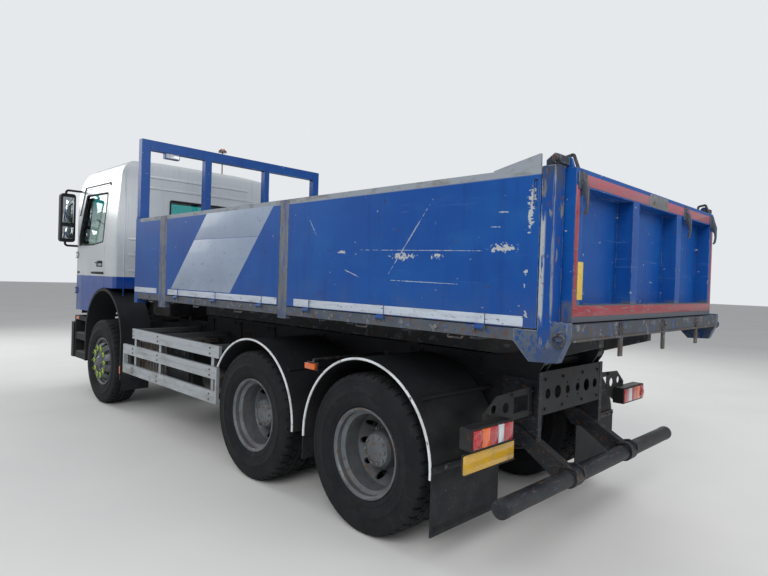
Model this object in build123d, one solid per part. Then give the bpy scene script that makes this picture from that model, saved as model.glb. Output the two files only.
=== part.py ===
from build123d import *
from math import cos, radians, sin

# A three-axle tipper truck: a short tilting cab, a ladder chassis with a twin-wheel bogie, and a
# tipping dropside body with a top-hung tailgate and a goalpost frame over its headboard.
# Sizes are millimetres. X runs forward from the rearmost axle, Y to the truck's left, Z up from
# the ground. On writing, the model is moved back so that the middle of its length is at X = 0.

# Wheels and axles
bogie_spread = 1350
front_axle_x = bogie_spread + 3600
tyre_radius = 530
tyre_width = 310
rim_radius = 300
bead_radius = 286
rim_width = 264
rim_wall = 10
disc_offset = 165
disc_wall = 12
nave_radius = 140
front_tyre_y = 1023
outer_twin_y = 1077
inner_twin_y = 727
hand_hole_radius = 26
hand_hole_circle = 222
hand_holes = 10
axle_z = tyre_radius
front_spindle_radius = 40
drive_spindle_radius = 55

# Clearances
seat_gap = 0.3
pin_play = 0.05
panel_gap = 6

# Steering
king_pin_y = 905
king_pin_radius = 22
eye_radius = 50
eye_half_height = 65
knuckle_lug = 80
steering_arm = 130

# Chassis
rail_outer_y = 425
rail_flange = 75
rail_wall = 8
rail_bottom_z = 830
rail_top_z = 1100
rail_rear_x = -840
rail_front_x = 6220
end_plate_wall = 10
end_plate_top_z = 1115
end_holes = ((350, 34), (215, 44), (75, 30))  # middle Y and radius, on both sides
coupling_hole_radius = 8.5
coupling_spacing_y = 160
coupling_spacing_z = 100
cross_member_depth = 60
subframe_top_z = 1190
subframe_rear_x = -760
subframe_front_x = 3600
rest_pad_height = 9.7
tow_pin_radius = 20
tow_pin_y = 300

# Tipping body
tip_x = -820
tip_z = 1200
tip_pin_radius = 30
tip_bush_radius = 50
runner_bottom_z = 1200
runner_width = 64
bearer_bottom_z = 1372
floor_top_z = 1490
floor_wall = 8
bed_half_width = 1250
bed_front_x = 3740
side_wall = 40
rave_width = 55
sill_half_width = bed_half_width - rave_width
floor_half_width = bed_half_width - side_wall - 7
board_half_width = bed_half_width - 5
goalpost_half_width = bed_half_width - 10
dropside_bottom_z = 1462
dropside_top_z = 2270
top_rail_height = 40
rave_bottom_z = 1392
rave_top_z = 1455
headboard_wall = 40
goalpost_top_z = 3160
goalpost_rail = 110
goalpost_depth = 80
front_post_x = (2960, 3110)
middle_post_x = (860, 965)
corner_post_x = (-1335, -1265)
corner_post_width = 95
gusset_front_x = -1130
sill_rear_x = -1430
sill_face_x = -1422
sill_bottom_z = 1405
tailgate_outer_x = -1390
tailgate_inner_x = -1285
tailgate_half_width = bed_half_width - 110
tailgate_bottom_z = 1498
tailgate_skin = 10
tailgate_rib_y = 375
tailgate_rib_width = 85
tailgate_hinge_x = -1330
tailgate_hinge_z = 2302
tailgate_pin_radius = 14
dropside_hinge_y = bed_half_width + 12
dropside_hinge_z = 1445
dropside_pin_radius = 6
dropside_knuckle_radius = 11
dropside_knuckle_length = 60
hinges_a_side = 3
hinge_inset = 250
rear_overhang = 85  # the rear dropside runs on this far behind its hinges

# Ram under the body
ram_x = 700
ram_base_z = 860
ram_eye_z = 1325
ram_bottom_z = 700
ram_top_z = 1250
ram_radius = 95
ram_wall = 14.7
ram_stages = 3
ram_trunnion_radius = 22
ram_cheek_y = 165
ram_cheek_wall = 20

# Cab
cab_rear_x = 4650
cab_front_x = 6360
cab_half_width = 1150
cab_floor_z = 1130
cab_lip_z = 1060
cab_wall = 40
cab_belt_z = 2000
cab_roof_z = 3130
glass_inset = 15
glass_wall = 6
arch_x = front_axle_x + 5
arch_z = 820
wing_radius = 610
wing_wall = 25
cab_arch_radius = 650
tunnel_half_width = 400
tunnel_top_z = 1570
tunnel_front_x = 6050
cab_pivot_x = 6280
cab_pivot_z = 1015
cab_pin_radius = 15
cab_lug_radius = 35
cab_lug_y = 405
door_rear_x = 4985
door_front_x = 6075
door_hinge_x = 6078
door_hinge_y = 1136
door_pin_radius = 8
steering_wheel_y = -620
steering_wheel_x = 5700
steering_wheel_z = 2090
steering_wheel_radius = 225
steering_wheel_tilt = 35

# Overall ends, which place the origin at mid length
rear_end_x = sill_rear_x
front_end_x = 6390
middle_x = (rear_end_x + front_end_x) / 2


def block(x, y, z):
    """A box from its two X, two Y and two Z limits."""
    size = (x[1] - x[0], y[1] - y[0], z[1] - z[0])
    return Pos((x[0] + x[1]) / 2, (y[0] + y[1]) / 2, (z[0] + z[1]) / 2) * Box(*size)


def outline(points, radius=0):
    """A flat face inside straight runs, with its corners rounded if a radius is given."""
    if radius:
        return make_face(FilletPolyline(*points, radius=radius, close=True))
    return make_face(Polyline(*points, close=True))


def along_y(face, y):
    """Stretch a face drawn in X and Z between two Y planes."""
    solid = extrude(face, y[1] - y[0], dir=(0, 0, 1))
    return Location(Plane((0, y[1], 0), x_dir=(1, 0, 0), z_dir=(0, -1, 0))) * solid


def along_x(face, x):
    """Stretch a face drawn in Y and Z between two X planes."""
    solid = extrude(face, x[1] - x[0], dir=(0, 0, 1))
    return Location(Plane((x[0], 0, 0), x_dir=(0, 1, 0), z_dir=(1, 0, 0))) * solid


def along_z(face, z):
    """Stretch a face drawn in X and Y between two heights."""
    return Pos(0, 0, z[0]) * extrude(face, z[1] - z[0], dir=(0, 0, 1))


def rod_x(radius, x, y, z):
    return Pos((x[0] + x[1]) / 2, y, z) * Rot(0, 90, 0) * Cylinder(radius, x[1] - x[0])


def rod_y(radius, x, y, z):
    return Pos(x, (y[0] + y[1]) / 2, z) * Rot(90, 0, 0) * Cylinder(radius, y[1] - y[0])


def rod_z(radius, x, y, z):
    return Pos(x, y, (z[0] + z[1]) / 2) * Cylinder(radius, z[1] - z[0])


def rod_between(radius, start, end):
    """A round bar from one point to another."""
    axis = Vector(*end) - Vector(*start)
    return Location(Plane(start, z_dir=axis)) * Pos(0, 0, axis.length / 2) * Cylinder(radius, axis.length)


def other_side(solid):
    return mirror(solid, about=Plane.XZ)


def both_sides(solid):
    return [solid, other_side(solid)]


def fuse(solids):
    whole = solids[0]
    for solid in solids[1:]:
        whole = whole + solid
    return whole


def write(name, *solids):
    """Write one piece of the truck, moved so that the middle of the length is at X = 0."""
    loose = [one for solid in solids for one in solid.solids()]
    piece = Pos(-middle_x, 0, 0) * Compound(children=loose)
    export_step(piece, f"parts/{name}.step")


# Wheels are turned about Y, drawn with X as radius and Y as distance outboard of the tyre's middle.
def tyre():
    half = tyre_width / 2
    bore = bead_radius + seat_gap
    seat = rim_width / 2 - rim_wall - seat_gap
    flank = rim_radius + 2
    shoulder = (tyre_radius - 18, half - 14)
    tread = (tyre_radius, half - 30)
    sides = []
    for sign in (1, -1):
        sides += [
            Line((bore, 0), (bore, sign * seat)),
            Line((bore, sign * seat), (flank, sign * seat)),
            ThreePointArc(
                (flank, sign * seat),
                (flank + 95, sign * half),
                (shoulder[0], sign * shoulder[1]),
            ),
            Line((shoulder[0], sign * shoulder[1]), (tread[0], sign * tread[1])),
            Line((tread[0], sign * tread[1]), (tyre_radius, 0)),
        ]
    return revolve(make_face(Wire(sides)), Axis.Y)


def rim(outboard):
    """A drop-centre rim with its dished disc; outboard is 1 when the dish stands outwards."""
    half = rim_width / 2
    well = bead_radius - 24
    outer = [
        (rim_radius, half),
        (rim_radius, half - rim_wall),
        (bead_radius, half - rim_wall),
        (bead_radius, half - 50),
        (well, half - 70),
    ]
    inner = [
        (well - rim_wall, half - 66),
        (bead_radius - rim_wall, half - 46),
        (bead_radius - rim_wall, half - 12),
        (rim_radius - 12, half),
    ]
    lower = [(r, -w) for r, w in reversed(outer)]
    under = [(r, -w) for r, w in reversed(inner)]
    barrel = revolve(outline(outer + lower + under + inner), Axis.Y)
    face_w = disc_offset
    dish = [
        (well - rim_wall / 2, 48),
        (well - rim_wall / 2, 62),
        (232, 118),
        (206, face_w),
        (nave_radius, face_w),
        (nave_radius, face_w - disc_wall),
        (196, face_w - disc_wall),
        (221, 112),
    ]
    disc = revolve(outline(dish), Axis.Y)
    hole = rod_y(hand_hole_radius, hand_hole_circle, (70, face_w + 5), 0)
    for count in range(hand_holes):
        disc -= Rot(0, 360 * count / hand_holes, 0) * hole
    wheel = barrel + disc
    return wheel if outboard > 0 else mirror(wheel, about=Plane.XZ)


def turned(points, y=0):
    """A solid turned about Y from a list of (radius, distance outboard)."""
    return Pos(0, y, 0) * revolve(outline(points), Axis.Y)


def front_rim():
    """Rim, hub, brake drum and hub cap of a steered wheel, outboard of its tyre's middle."""
    face = disc_offset - disc_wall
    bore = front_spindle_radius + pin_play
    hub = turned(
        [
            (bore, 0),
            (bore, face - 40),
            (0, face - 40),
            (0, face + 42),
            (48, face + 42),
            (72, face + 22),
            (78, face),
            (175, face),
            (175, face - 18),
            (205, face - 30),
            (205, -80),
            (190, -80),
            (190, face - 44),
            (90, face - 44),
            (90, 0),
        ]
    )
    return rim(1) + hub


def twin_rims():
    """Two rims back to back on one driven hub, outboard of the middle between the tyres."""
    offset = (outer_twin_y - inner_twin_y) / 2
    bore = drive_spindle_radius + pin_play
    lap = offset - disc_offset
    hub = turned(
        [
            (bore, -160),
            (bore, 150),
            (0, 150),
            (0, 205),
            (70, 205),
            (108, 190),
            (122, 165),
            (135, 60),
            (nave_radius + 2, 20),
            (nave_radius + 2, lap),
            (178, lap),
            (178, -lap),
            (150, -lap - 14),
            (205, -50),
            (205, -235),
            (190, -235),
            (190, -66),
            (100, -66),
            (100, -160),
        ]
    )
    outer = Pos(0, offset, 0) * rim(-1)
    inner = Pos(0, -offset, 0) * rim(1)
    return outer + inner + hub


def wheels():
    twin_y = (outer_twin_y + inner_twin_y) / 2
    half_twin = (outer_twin_y - inner_twin_y) / 2
    single = (tyre(), front_rim())
    twin = ([Pos(0, half_twin, 0) * tyre(), Pos(0, -half_twin, 0) * tyre()], twin_rims())
    # place, axle X, middle Y
    axles = [("front", front_axle_x, front_tyre_y), ("middle", bogie_spread, twin_y), ("rear", 0, twin_y)]
    for place, x, y in axles:
        rubber, metal = single if place == "front" else twin
        rubber = rubber if isinstance(rubber, list) else [rubber]
        at = Pos(x, y, axle_z)
        left_tyres = [at * one for one in rubber]
        left_rim = at * metal
        write(f"tyre_{place}_left", *left_tyres)
        write(f"tyre_{place}_right", *[other_side(one) for one in left_tyres])
        write(f"rim_{place}_left", left_rim)
        write(f"rim_{place}_right", other_side(left_rim))


# Steered axle
def front_axle():
    drop = 120
    half = eye_half_height
    beam_points = [
        (0, axle_z - half - drop),
        (400, axle_z - half - drop),
        (640, axle_z - half),
        (king_pin_y, axle_z - half),
        (king_pin_y, axle_z + half),
        (620, axle_z + half),
        (380, axle_z + half - drop),
        (0, axle_z + half - drop),
    ]
    x = (front_axle_x - 48, front_axle_x + 48)
    web = (front_axle_x + 18, front_axle_x + 60)
    arm = along_x(outline(beam_points), x)
    waist = [(0, axle_z - drop - 40), (400, axle_z - drop - 40), (600, axle_z - 40), (600, axle_z + 36)]
    waist += [(400, axle_z - drop + 40), (0, axle_z - drop + 40)]
    for side in (web, (2 * front_axle_x - web[1], 2 * front_axle_x - web[0])):
        arm -= along_x(outline(waist), side)
    eye = rod_z(eye_radius, front_axle_x, king_pin_y, (axle_z - half, axle_z + half))
    pin_half = half + knuckle_lug + 5
    pin = rod_z(king_pin_radius, front_axle_x, king_pin_y, (axle_z - pin_half, axle_z + pin_half))
    spring_pad = block((front_axle_x - 70, front_axle_x + 70), (445, 535), (500, 560))
    arm = arm + eye + pin + spring_pad
    write("front_axle", arm + other_side(arm))


def knuckle():
    """A fork round the axle's eye, its spindle and its steering arm."""
    gap = 5
    inner = eye_half_height + gap
    outer = inner + knuckle_lug
    half_x = 52
    yoke_y = king_pin_y + eye_radius + gap
    body = block(
        (front_axle_x - half_x, front_axle_x + half_x),
        (yoke_y, yoke_y + 40),
        (axle_z - outer, axle_z + outer),
    )
    for sign in (-1, 1):
        z = sorted((axle_z + sign * inner, axle_z + sign * outer))
        lug = block((front_axle_x - half_x, front_axle_x + half_x), (king_pin_y, yoke_y + 10), z)
        lug += rod_z(half_x, front_axle_x, king_pin_y, z)
        body += lug
    arm_z = (axle_z - outer, axle_z - outer + 30)
    arm_x = front_axle_x - steering_arm
    arm = block((arm_x, front_axle_x), (king_pin_y - 24, king_pin_y + 24), arm_z)
    body += arm + rod_z(26, arm_x, king_pin_y, arm_z)
    play = king_pin_radius + pin_play
    body -= rod_z(play, front_axle_x, king_pin_y, (axle_z - outer - 1, axle_z + outer + 1))
    spindle_end = front_tyre_y + disc_offset - disc_wall - 40 - 1
    body += rod_y(front_spindle_radius, front_axle_x, (yoke_y + 30, spindle_end), axle_z)
    return body


def steering():
    left = knuckle()
    write("knuckle_left", left)
    write("knuckle_right", other_side(left))
    arm_bottom = axle_z - eye_half_height - 5 - knuckle_lug
    rod_x_at = front_axle_x - steering_arm
    rod_z_at = arm_bottom - 26
    end_y = king_pin_y
    rod = rod_y(17, rod_x_at, (-end_y, end_y), rod_z_at)
    for y in (-end_y, end_y):
        rod += rod_z(24, rod_x_at, y, (rod_z_at - 22, arm_bottom - seat_gap))
    write("track_rod", rod)


# Ladder frame
def c_rail():
    y_in = rail_outer_y - rail_flange
    section = [
        (rail_outer_y, rail_bottom_z),
        (rail_outer_y, rail_top_z),
        (y_in, rail_top_z),
        (y_in, rail_top_z - rail_wall),
        (rail_outer_y - rail_wall, rail_top_z - rail_wall),
        (rail_outer_y - rail_wall, rail_bottom_z + rail_wall),
        (y_in, rail_bottom_z + rail_wall),
        (y_in, rail_bottom_z),
    ]
    return along_x(outline(section), (rail_rear_x, rail_front_x))


def end_plate():
    plate_x = (rail_rear_x - end_plate_wall, rail_rear_x)
    plate = block(plate_x, (-rail_outer_y, rail_outer_y), (rail_bottom_z, end_plate_top_z))
    middle_z = (rail_bottom_z + rail_top_z) / 2
    through = (plate_x[0] - 1, plate_x[1] + 1)
    for y, radius in end_holes:
        plate -= rod_x(radius, through, y, middle_z) + rod_x(radius, through, -y, middle_z)
    for y in (-coupling_spacing_y / 2, coupling_spacing_y / 2):
        for z in (-coupling_spacing_z / 2, coupling_spacing_z / 2):
            plate -= rod_x(coupling_hole_radius, through, y, middle_z + z)
    return plate


def ram_cradle():
    """Two cheek plates between two cross beams, bored for the ram's trunnions."""
    reach = 230
    cheek = block(
        (ram_x - reach, ram_x + reach),
        (ram_cheek_y, ram_cheek_y + ram_cheek_wall),
        (rail_bottom_z + 10, rail_bottom_z + 130),
    )
    bore = ram_trunnion_radius + pin_play
    cheek -= rod_y(bore, ram_x, (ram_cheek_y - 1, ram_cheek_y + ram_cheek_wall + 1), ram_base_z)
    inner_y = rail_outer_y - rail_wall
    beams = []
    for sign in (-1, 1):
        x = sorted((ram_x + sign * reach, ram_x + sign * (reach - 50)))
        beams.append(block(x, (-inner_y, inner_y), (rail_bottom_z + rail_wall, rail_bottom_z + 130)))
    return fuse([cheek, other_side(cheek)] + beams)


def cab_pivot_ears():
    """Twin plates at the front of each rail that carry the cab's tilt pin."""
    shape = [
        (rail_front_x - 190, rail_bottom_z + 60),
        (rail_front_x - 190, rail_top_z - 60),
        (cab_pivot_x - 20, cab_pivot_z + 28),
        (cab_pivot_x + 30, cab_pivot_z),
        (cab_pivot_x - 10, cab_pivot_z - 60),
        (rail_front_x, rail_bottom_z + 60),
    ]
    ears = []
    for y in ((rail_outer_y, rail_outer_y + 22), (cab_lug_y - 41, cab_lug_y - 19)):
        ear = along_y(outline(shape), y)
        ears.append(ear + rod_y(cab_lug_radius, cab_pivot_x, y, cab_pivot_z))
    pin = rod_y(cab_pin_radius, cab_pivot_x, (cab_lug_y - 41, rail_outer_y + 22), cab_pivot_z)
    inner_ear_root = block(
        (rail_front_x - 190, rail_front_x),
        (cab_lug_y - 41, rail_outer_y - rail_wall),
        (rail_bottom_z + 60, rail_bottom_z + 90),
    )
    return fuse(ears + [pin, inner_ear_root])


def chassis_frame():
    rail = c_rail()
    inner_y = rail_outer_y - rail_wall
    # middle X of each cross member, lower Z, upper Z
    members = [
        (-720, 850, 1080),
        (-330, 900, 1080),
        (1900, 850, 1080),
        (2700, 850, 1080),
        (3700, 890, 1080),
        (rail_front_x - 40, 850, 960),
    ]
    pieces = [rail, other_side(rail), end_plate(), ram_cradle()]
    for x, low, high in members:
        half = cross_member_depth / 2
        beam = block((x - half, x + half), (-inner_y, inner_y), (low, high))
        pocket = block((x - half - 1, x + half - 12), (-inner_y + 40, inner_y - 40), (low + 14, high - 14))
        pieces.append(beam - pocket)
    pieces += both_sides(cab_pivot_ears())
    cab_beam = block((4680, 4760), (-620, 620), (rail_top_z, rail_top_z + 60))
    cab_rest_top = arch_z + cab_arch_radius - seat_gap
    for y in ((500, 600), (-600, -500)):
        cab_beam += block((4690, 4750), y, (rail_top_z, cab_rest_top))
    pieces.append(cab_beam)
    for y in (-tow_pin_y, tow_pin_y):
        eye = block((rail_front_x - 10, rail_front_x + 100), (y - 45, y + 45), (rail_bottom_z + 20, 960))
        pieces.append(eye)
    frame = fuse(pieces)
    write("chassis_frame", frame)


def subframe():
    rail_y = (rail_outer_y - rail_flange + 5, rail_outer_y)
    bottom = rail_top_z + seat_gap
    rail = block((subframe_rear_x, subframe_front_x), rail_y, (bottom, subframe_top_z))
    pad_top = subframe_top_z + rest_pad_height
    for x in (-500, 300, 1100, 1900, 2700, 3400):
        rail += block((x - 60, x + 60), (rail_y[0] + 6, rail_y[1] - 6), (subframe_top_z - 1, pad_top))
    ear_x = (rail_rear_x + 6, tip_x + 380)
    shape = [
        (ear_x[1], bottom + 4),
        (ear_x[1], subframe_top_z - 10),
        (tip_x + 20, tip_z + 44),
        (tip_x - 45, tip_z + 20),
        (tip_x - 40, tip_z - 40),
        (ear_x[0], end_plate_top_z + 6),
        (ear_x[0], bottom + 4),
    ]
    pin_y = (rail_y[0] - 20, rail_y[1] + 20)
    for y in ((rail_y[1], pin_y[1]), (pin_y[0], rail_y[0])):
        rail += along_y(outline(shape), y) + rod_y(52, tip_x, y, tip_z)
    rail += rod_y(tip_pin_radius, tip_x, pin_y, tip_z)
    # shear plates that bolt the subframe to the rails
    for x in (-300, 250, 1450, 2250, 2900, 3500):
        plate_z = (rail_top_z - 110, subframe_top_z - 20)
        rail += block((x - 70, x + 70), (rail_outer_y, rail_outer_y + 10), plate_z)
    tubes = []
    for x in (-700, 1250, 2300, 3300):
        tubes.append(rod_y(38, x, (-rail_y[0] - 5, rail_y[0] + 5), bottom + 42))
    write("subframe", fuse([rail, other_side(rail)] + tubes))


# Driven bogie
def drive_axles():
    housings = []
    for x in (0, bogie_spread):
        bowl = rod_x(200, (x - 160, x + 160), 0, axle_z)
        bowl = fillet(bowl.edges().filter_by(GeomType.CIRCLE), 90)
        tube = rod_y(78, x, (-640, 640), axle_z)
        flange = rod_y(150, x, (600, 618), axle_z)
        spindle_end = (outer_twin_y + inner_twin_y) / 2 + 149
        spindle = rod_y(drive_spindle_radius, x, (600, spindle_end), axle_z)
        nose_x = (x + 150, x + 260)
        nose = rod_x(80, nose_x, 0, axle_z + 45)
        housing = fuse([bowl, tube, nose, flange, other_side(flange), spindle, other_side(spindle)])
        if x:
            housing += rod_x(60, (x - 250, x - 150), 0, axle_z + 45)
        for y in (-330, 330):
            housing += rod_x(70, (x - 210, x - 60), y, axle_z + 60)
        housings.append(housing)
    write("drive_axles", *housings)


def prop_shafts():
    z = axle_z + 45
    start_x = bogie_spread + 260 + seat_gap
    gearbox_x = (3890, 3950 - seat_gap)
    main = rod_between(46, (start_x + 50, 0, z), (gearbox_x[0] + 30, 0, 830))
    main += rod_x(80, (start_x, start_x + 70), 0, z) + rod_x(80, gearbox_x, 0, 830)
    link = rod_x(42, (260 + seat_gap, bogie_spread - 250 - seat_gap), 0, z)
    for x in (260 + seat_gap, bogie_spread - 250 - seat_gap - 40):
        link += rod_x(74, (x, x + 40), 0, z)
    write("prop_shafts", main, link)


def leaf_band(x_half, mid_z, end_z, thick, y):
    """One curved leaf, highest or lowest at its middle, about X = 0."""
    top = ThreePointArc((-x_half, end_z + thick), (0, mid_z + thick), (x_half, end_z + thick))
    low = ThreePointArc((-x_half, end_z), (0, mid_z), (x_half, end_z))
    ends = [Line((s * x_half, end_z), (s * x_half, end_z + thick)) for s in (-1, 1)]
    return along_y(make_face(Wire([top, low] + ends)), y)


def leaf_springs():
    y = (448, 532)
    web_y = rail_outer_y + seat_gap
    springs = []
    front = []
    # half length, middle Z, end Z
    for half, mid, end in ((800, 640, 712), (620, 619, 664), (420, 598, 620)):
        front.append(leaf_band(half, mid, end, 22, y))
    front.append(block((-75, 75), (y[0], y[1]), (560 + seat_gap, 610)))
    for x in (-800, 800):
        hanger = [(x - 60, 700), (x + 60, 700), (x + 90, 1000), (x - 90, 1000)]
        front.append(along_y(outline(hanger), (web_y, y[1])))
    springs.append(Pos(front_axle_x, 0, 0) * fuse(front))
    rear = []
    for half, mid, end in ((640, 800, 668), (500, 777, 700), (340, 755, 720)):
        rear.append(leaf_band(half, mid, end, 23, y))
    saddle = [(-110, 830), (110, 830), (170, 1040), (-170, 1040)]
    rear.append(along_y(outline(saddle), (web_y, y[1])))
    rear.append(block((-90, 90), (y[0], y[1]), (745, 840)))
    for x in (-bogie_spread / 2, bogie_spread / 2):
        rear.append(block((x - 70, x + 70), (y[0], y[1]), (axle_z + 78.3, 692)))
        rear.append(block((x - 45, x + 45), (y[0], y[1]), (axle_z + 78.3, 700)))
    springs.append(Pos(bogie_spread / 2, 0, 0) * fuse(rear))
    write("leaf_springs", *[one for spring in springs for one in both_sides(spring)])


# What hangs on the frame
def engine_block():
    engine = block((4800, 5950), (-330, 330), (640, 1500))
    engine = fillet(engine.edges().filter_by(Axis.X), 60)
    gearbox = rod_x(200, (3950, 4810), 0, 830)
    write("engine_block", engine + gearbox)


def rounded_tank(x, y, z, radius):
    tank = block(x, y, z)
    return fillet(tank.edges().filter_by(Axis.X), radius)


def strap(x, y, z, radius, wall):
    outer = rounded_tank(x, (y[0] - wall, y[1] + wall), (z[0] - wall, z[1] + wall), radius + wall)
    return outer - rounded_tank((x[0] - 1, x[1] + 1), y, z, radius)


def fuel_tank():
    x = (2130, 3900)
    y = (-1130, -490)
    z = (470, 960)
    tank = rounded_tank(x, y, z, 110)
    for x_at in (2350, 3050, 3700):
        tank += strap((x_at - 30, x_at + 30), y, z, 110, 6)
        tank += block((x_at - 35, x_at + 35), (-500, -rail_outer_y - seat_gap), (850, 945))
    tank += rod_z(55, 3400, -1010, (940, 975))
    write("fuel_tank", tank)


def exhaust_box():
    """A silencer box with upright ribs over its outer face."""
    x = (3180, 3900)
    y = (500, 1110)
    z = (480, 950)
    box = rounded_tank(x, y, z, 70)
    rib = 16
    for count in range(9):
        x_at = x[0] + 60 + count * 75
        box += block((x_at, x_at + rib), (y[1] - 20, y[1] + 14), (z[0] + 60, z[1] - 60))
    box += block((3300, 3380), (rail_outer_y + seat_gap, 510), (850, 940))
    box += block((3700, 3780), (rail_outer_y + seat_gap, 510), (850, 940))
    write("exhaust_box", box)


def air_tanks():
    tanks = []
    for y_at, z_at in ((640, 850), (940, 640), (640, 560)):
        tank = rod_x(118, (2120, 2520), y_at, z_at)
        tanks.append(fillet(tank.edges().filter_by(GeomType.CIRCLE), 40))
    frame = block((2180, 2220), (rail_outer_y + seat_gap, 700), (960, 985))
    frame += block((2180, 2220), (540, 580), (440, 985))
    frame += block((2420, 2460), (rail_outer_y + seat_gap, 700), (960, 985))
    frame += block((2420, 2460), (540, 580), (440, 985))
    frame += block((2180, 2220), (540, 1010), (440, 530))
    frame += block((2420, 2460), (540, 1010), (440, 530))
    write("air_tanks", fuse([frame] + tanks))


def battery_box():
    x = (2600, 3120)
    y = (520, 1120)
    z = (480, 930)
    box = fillet(block(x, y, z).edges(), 25)
    lid = block((x[0] + 20, x[1] - 20), (y[1] - 5, y[1] + 18), (z[0] + 30, z[1] - 30))
    box += fillet(lid.edges().filter_by(Axis.Y), 20)
    box += block((2700, 3020), (rail_outer_y + seat_gap, 530), (850, 920))
    write("battery_box", box)


def hydraulic_tank():
    base = rail_top_z + seat_gap
    tank = fillet(block((3980, 4440), (80, 740), (base + 50, 1520)).edges(), 35)
    tank += block((4020, 4080), (60, 430), (base, base + 70))
    tank += block((4340, 4400), (60, 430), (base, base + 70))
    tank += rod_z(45, 4210, 600, (1500, 1560))
    cleaner = rod_z(190, 4230, -420, (base + 20, 1500))
    cleaner = fillet(cleaner.edges().filter_by(GeomType.CIRCLE), 40)
    cleaner += block((4170, 4290), (-430, -360), (base, base + 60))
    write("hydraulic_tank", tank, cleaner)


def front_wings():
    """Front wheel arches, their legs and the two-step boxes ahead of them."""
    y = (800, 1165)
    outer_r = wing_radius + wing_wall
    ring = rod_y(outer_r, arch_x, y, arch_z) - rod_y(wing_radius, arch_x, (y[0] - 1, y[1] + 1), arch_z)
    ring -= block((arch_x - 800, arch_x + 800), (y[0] - 1, y[1] + 1), (0, arch_z))
    leg = block((arch_x - outer_r, arch_x - wing_radius), y, (380, arch_z))
    front_leg = block((arch_x + wing_radius, arch_x + outer_r), y, (460, arch_z))
    lip = rod_y(outer_r + 8, arch_x, (y[1] - 25, y[1]), arch_z)
    lip -= rod_y(outer_r - 5, arch_x, (y[1] - 26, y[1] + 1), arch_z)
    lip -= block((arch_x - 800, arch_x + 800), (y[1] - 30, y[1] + 1), (0, arch_z))
    steps_x = (arch_x + outer_r - 10, 6060 - seat_gap)
    steps = block(steps_x, (850, 1150), (460, 1050))
    # lower Z, upper Z, depth of each tread recess
    for low, high, deep in ((540, 720, 210), (800, 990, 180)):
        steps -= block((steps_x[0] + 45, steps_x[1] - 40), (1150 - deep, 1151), (low, high))
    stays = []
    for sign in (-1, 1):
        stay_x = arch_x + sign * 571
        stays.append(rod_y(18, stay_x, (rail_outer_y + seat_gap, y[0] + 20), arch_z + 250))
    step_stay = block((5700, 5780), (rail_outer_y + seat_gap, 860), (960, 1010))
    step_stay = step_stay - block((5600, 5900), (rail_outer_y, 540), (900, 1004))
    wing = fuse([ring, leg, front_leg, lip, steps, step_stay] + stays)
    write("front_wings", *both_sides(wing))


def bumper_outline(inset):
    half = 1165 - inset
    front = front_end_x - inset
    return make_face(
        Wire(
            [
                Line((6060, -half), (6060, half)),
                Line((6060, half), (6130, half)),
                ThreePointArc((6130, half), (6290, half - 70), (front - 35, half - 290)),
                ThreePointArc((front - 35, half - 290), (front, 0), (front - 35, 290 - half)),
                ThreePointArc((front - 35, 290 - half), (6290, 70 - half), (6130, -half)),
                Line((6130, -half), (6060, -half)),
            ]
        )
    )


lamp_y = (700, 1010)
lamp_z = (610, 800)


def front_bumper():
    shell = along_z(bumper_outline(0), (460, 945)) - along_z(bumper_outline(55), (430, 915))
    shell -= block((6000, 6100), (-1100, 1100), (440, 930))
    shell -= block((6000, 6325), (-470, 470), (900, 946))
    for y in (lamp_y, (-lamp_y[1], -lamp_y[0])):
        shell -= block((6200, 6400), (y[0] - 3, y[1] + 3), (lamp_z[0] - 3, lamp_z[1] + 3))
    shell -= block((6300, 6400), (-420, 420), (560, 640))
    for y in (-tow_pin_y, tow_pin_y):
        shell += block((rail_front_x + 100 + seat_gap, 6345), (y - 45, y + 45), (850, 900))
        shell -= rod_x(tow_pin_radius, (6310, 6400), y, 875)
    write("front_bumper", shell)


def headlamps():
    lamps = []
    for y in (lamp_y, (-lamp_y[1], -lamp_y[0])):
        body = along_z(bumper_outline(3), lamp_z) - along_z(bumper_outline(70), (0, 2000))
        lamps.append(body & block((6200, 6400), (y[0] - 2.7, y[1] + 2.7), (lamp_z[0] - 2.7, lamp_z[1] + 2.7)))
    write("headlamps", *lamps)


def side_guards():
    """Three planks a side on uprights that hang from outriggers on the rails."""
    plank_y = (1205, 1235)
    # rear X, front X, lower Z, upper Z
    planks = [(1870, 3800, 935, 1045), (1900, 4050, 740, 850), (1900, 4060, 520, 630)]
    guard = []
    for rear, front, low, high in planks:
        plank = block((rear, front), plank_y, (low, high))
        groove = block((rear - 1, front + 1), (plank_y[1] - 4, plank_y[1] + 1), (low + 50, low + 60))
        guard.append(plank - groove)
    for rear, front in ((1900, 1930), (4030, 4056)):
        guard.append(block((rear, front), (plank_y[0], plank_y[1]), (520, 850)))
    for x in (2030, 3140, 3780):
        guard.append(block((x - 25, x + 25), (1165, plank_y[0]), (525, 1040)))
        guard.append(block((x - 25, x + 25), (rail_outer_y + seat_gap, 1170), (990, 1040)))
    guard.append(block((3755, 4045), (1165, plank_y[0]), (760, 810)))
    guard.append(block((3995, 4045), (1165, plank_y[0]), (525, 840)))
    write("side_guards", *both_sides(fuse(guard)))


guard_radius = tyre_radius + 0.24 * (bogie_spread - 2 * tyre_radius) + 0.4
guard_wall = 12
guard_z = axle_z + 22
guard_y = (inner_twin_y - 167, outer_twin_y + 168)


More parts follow.
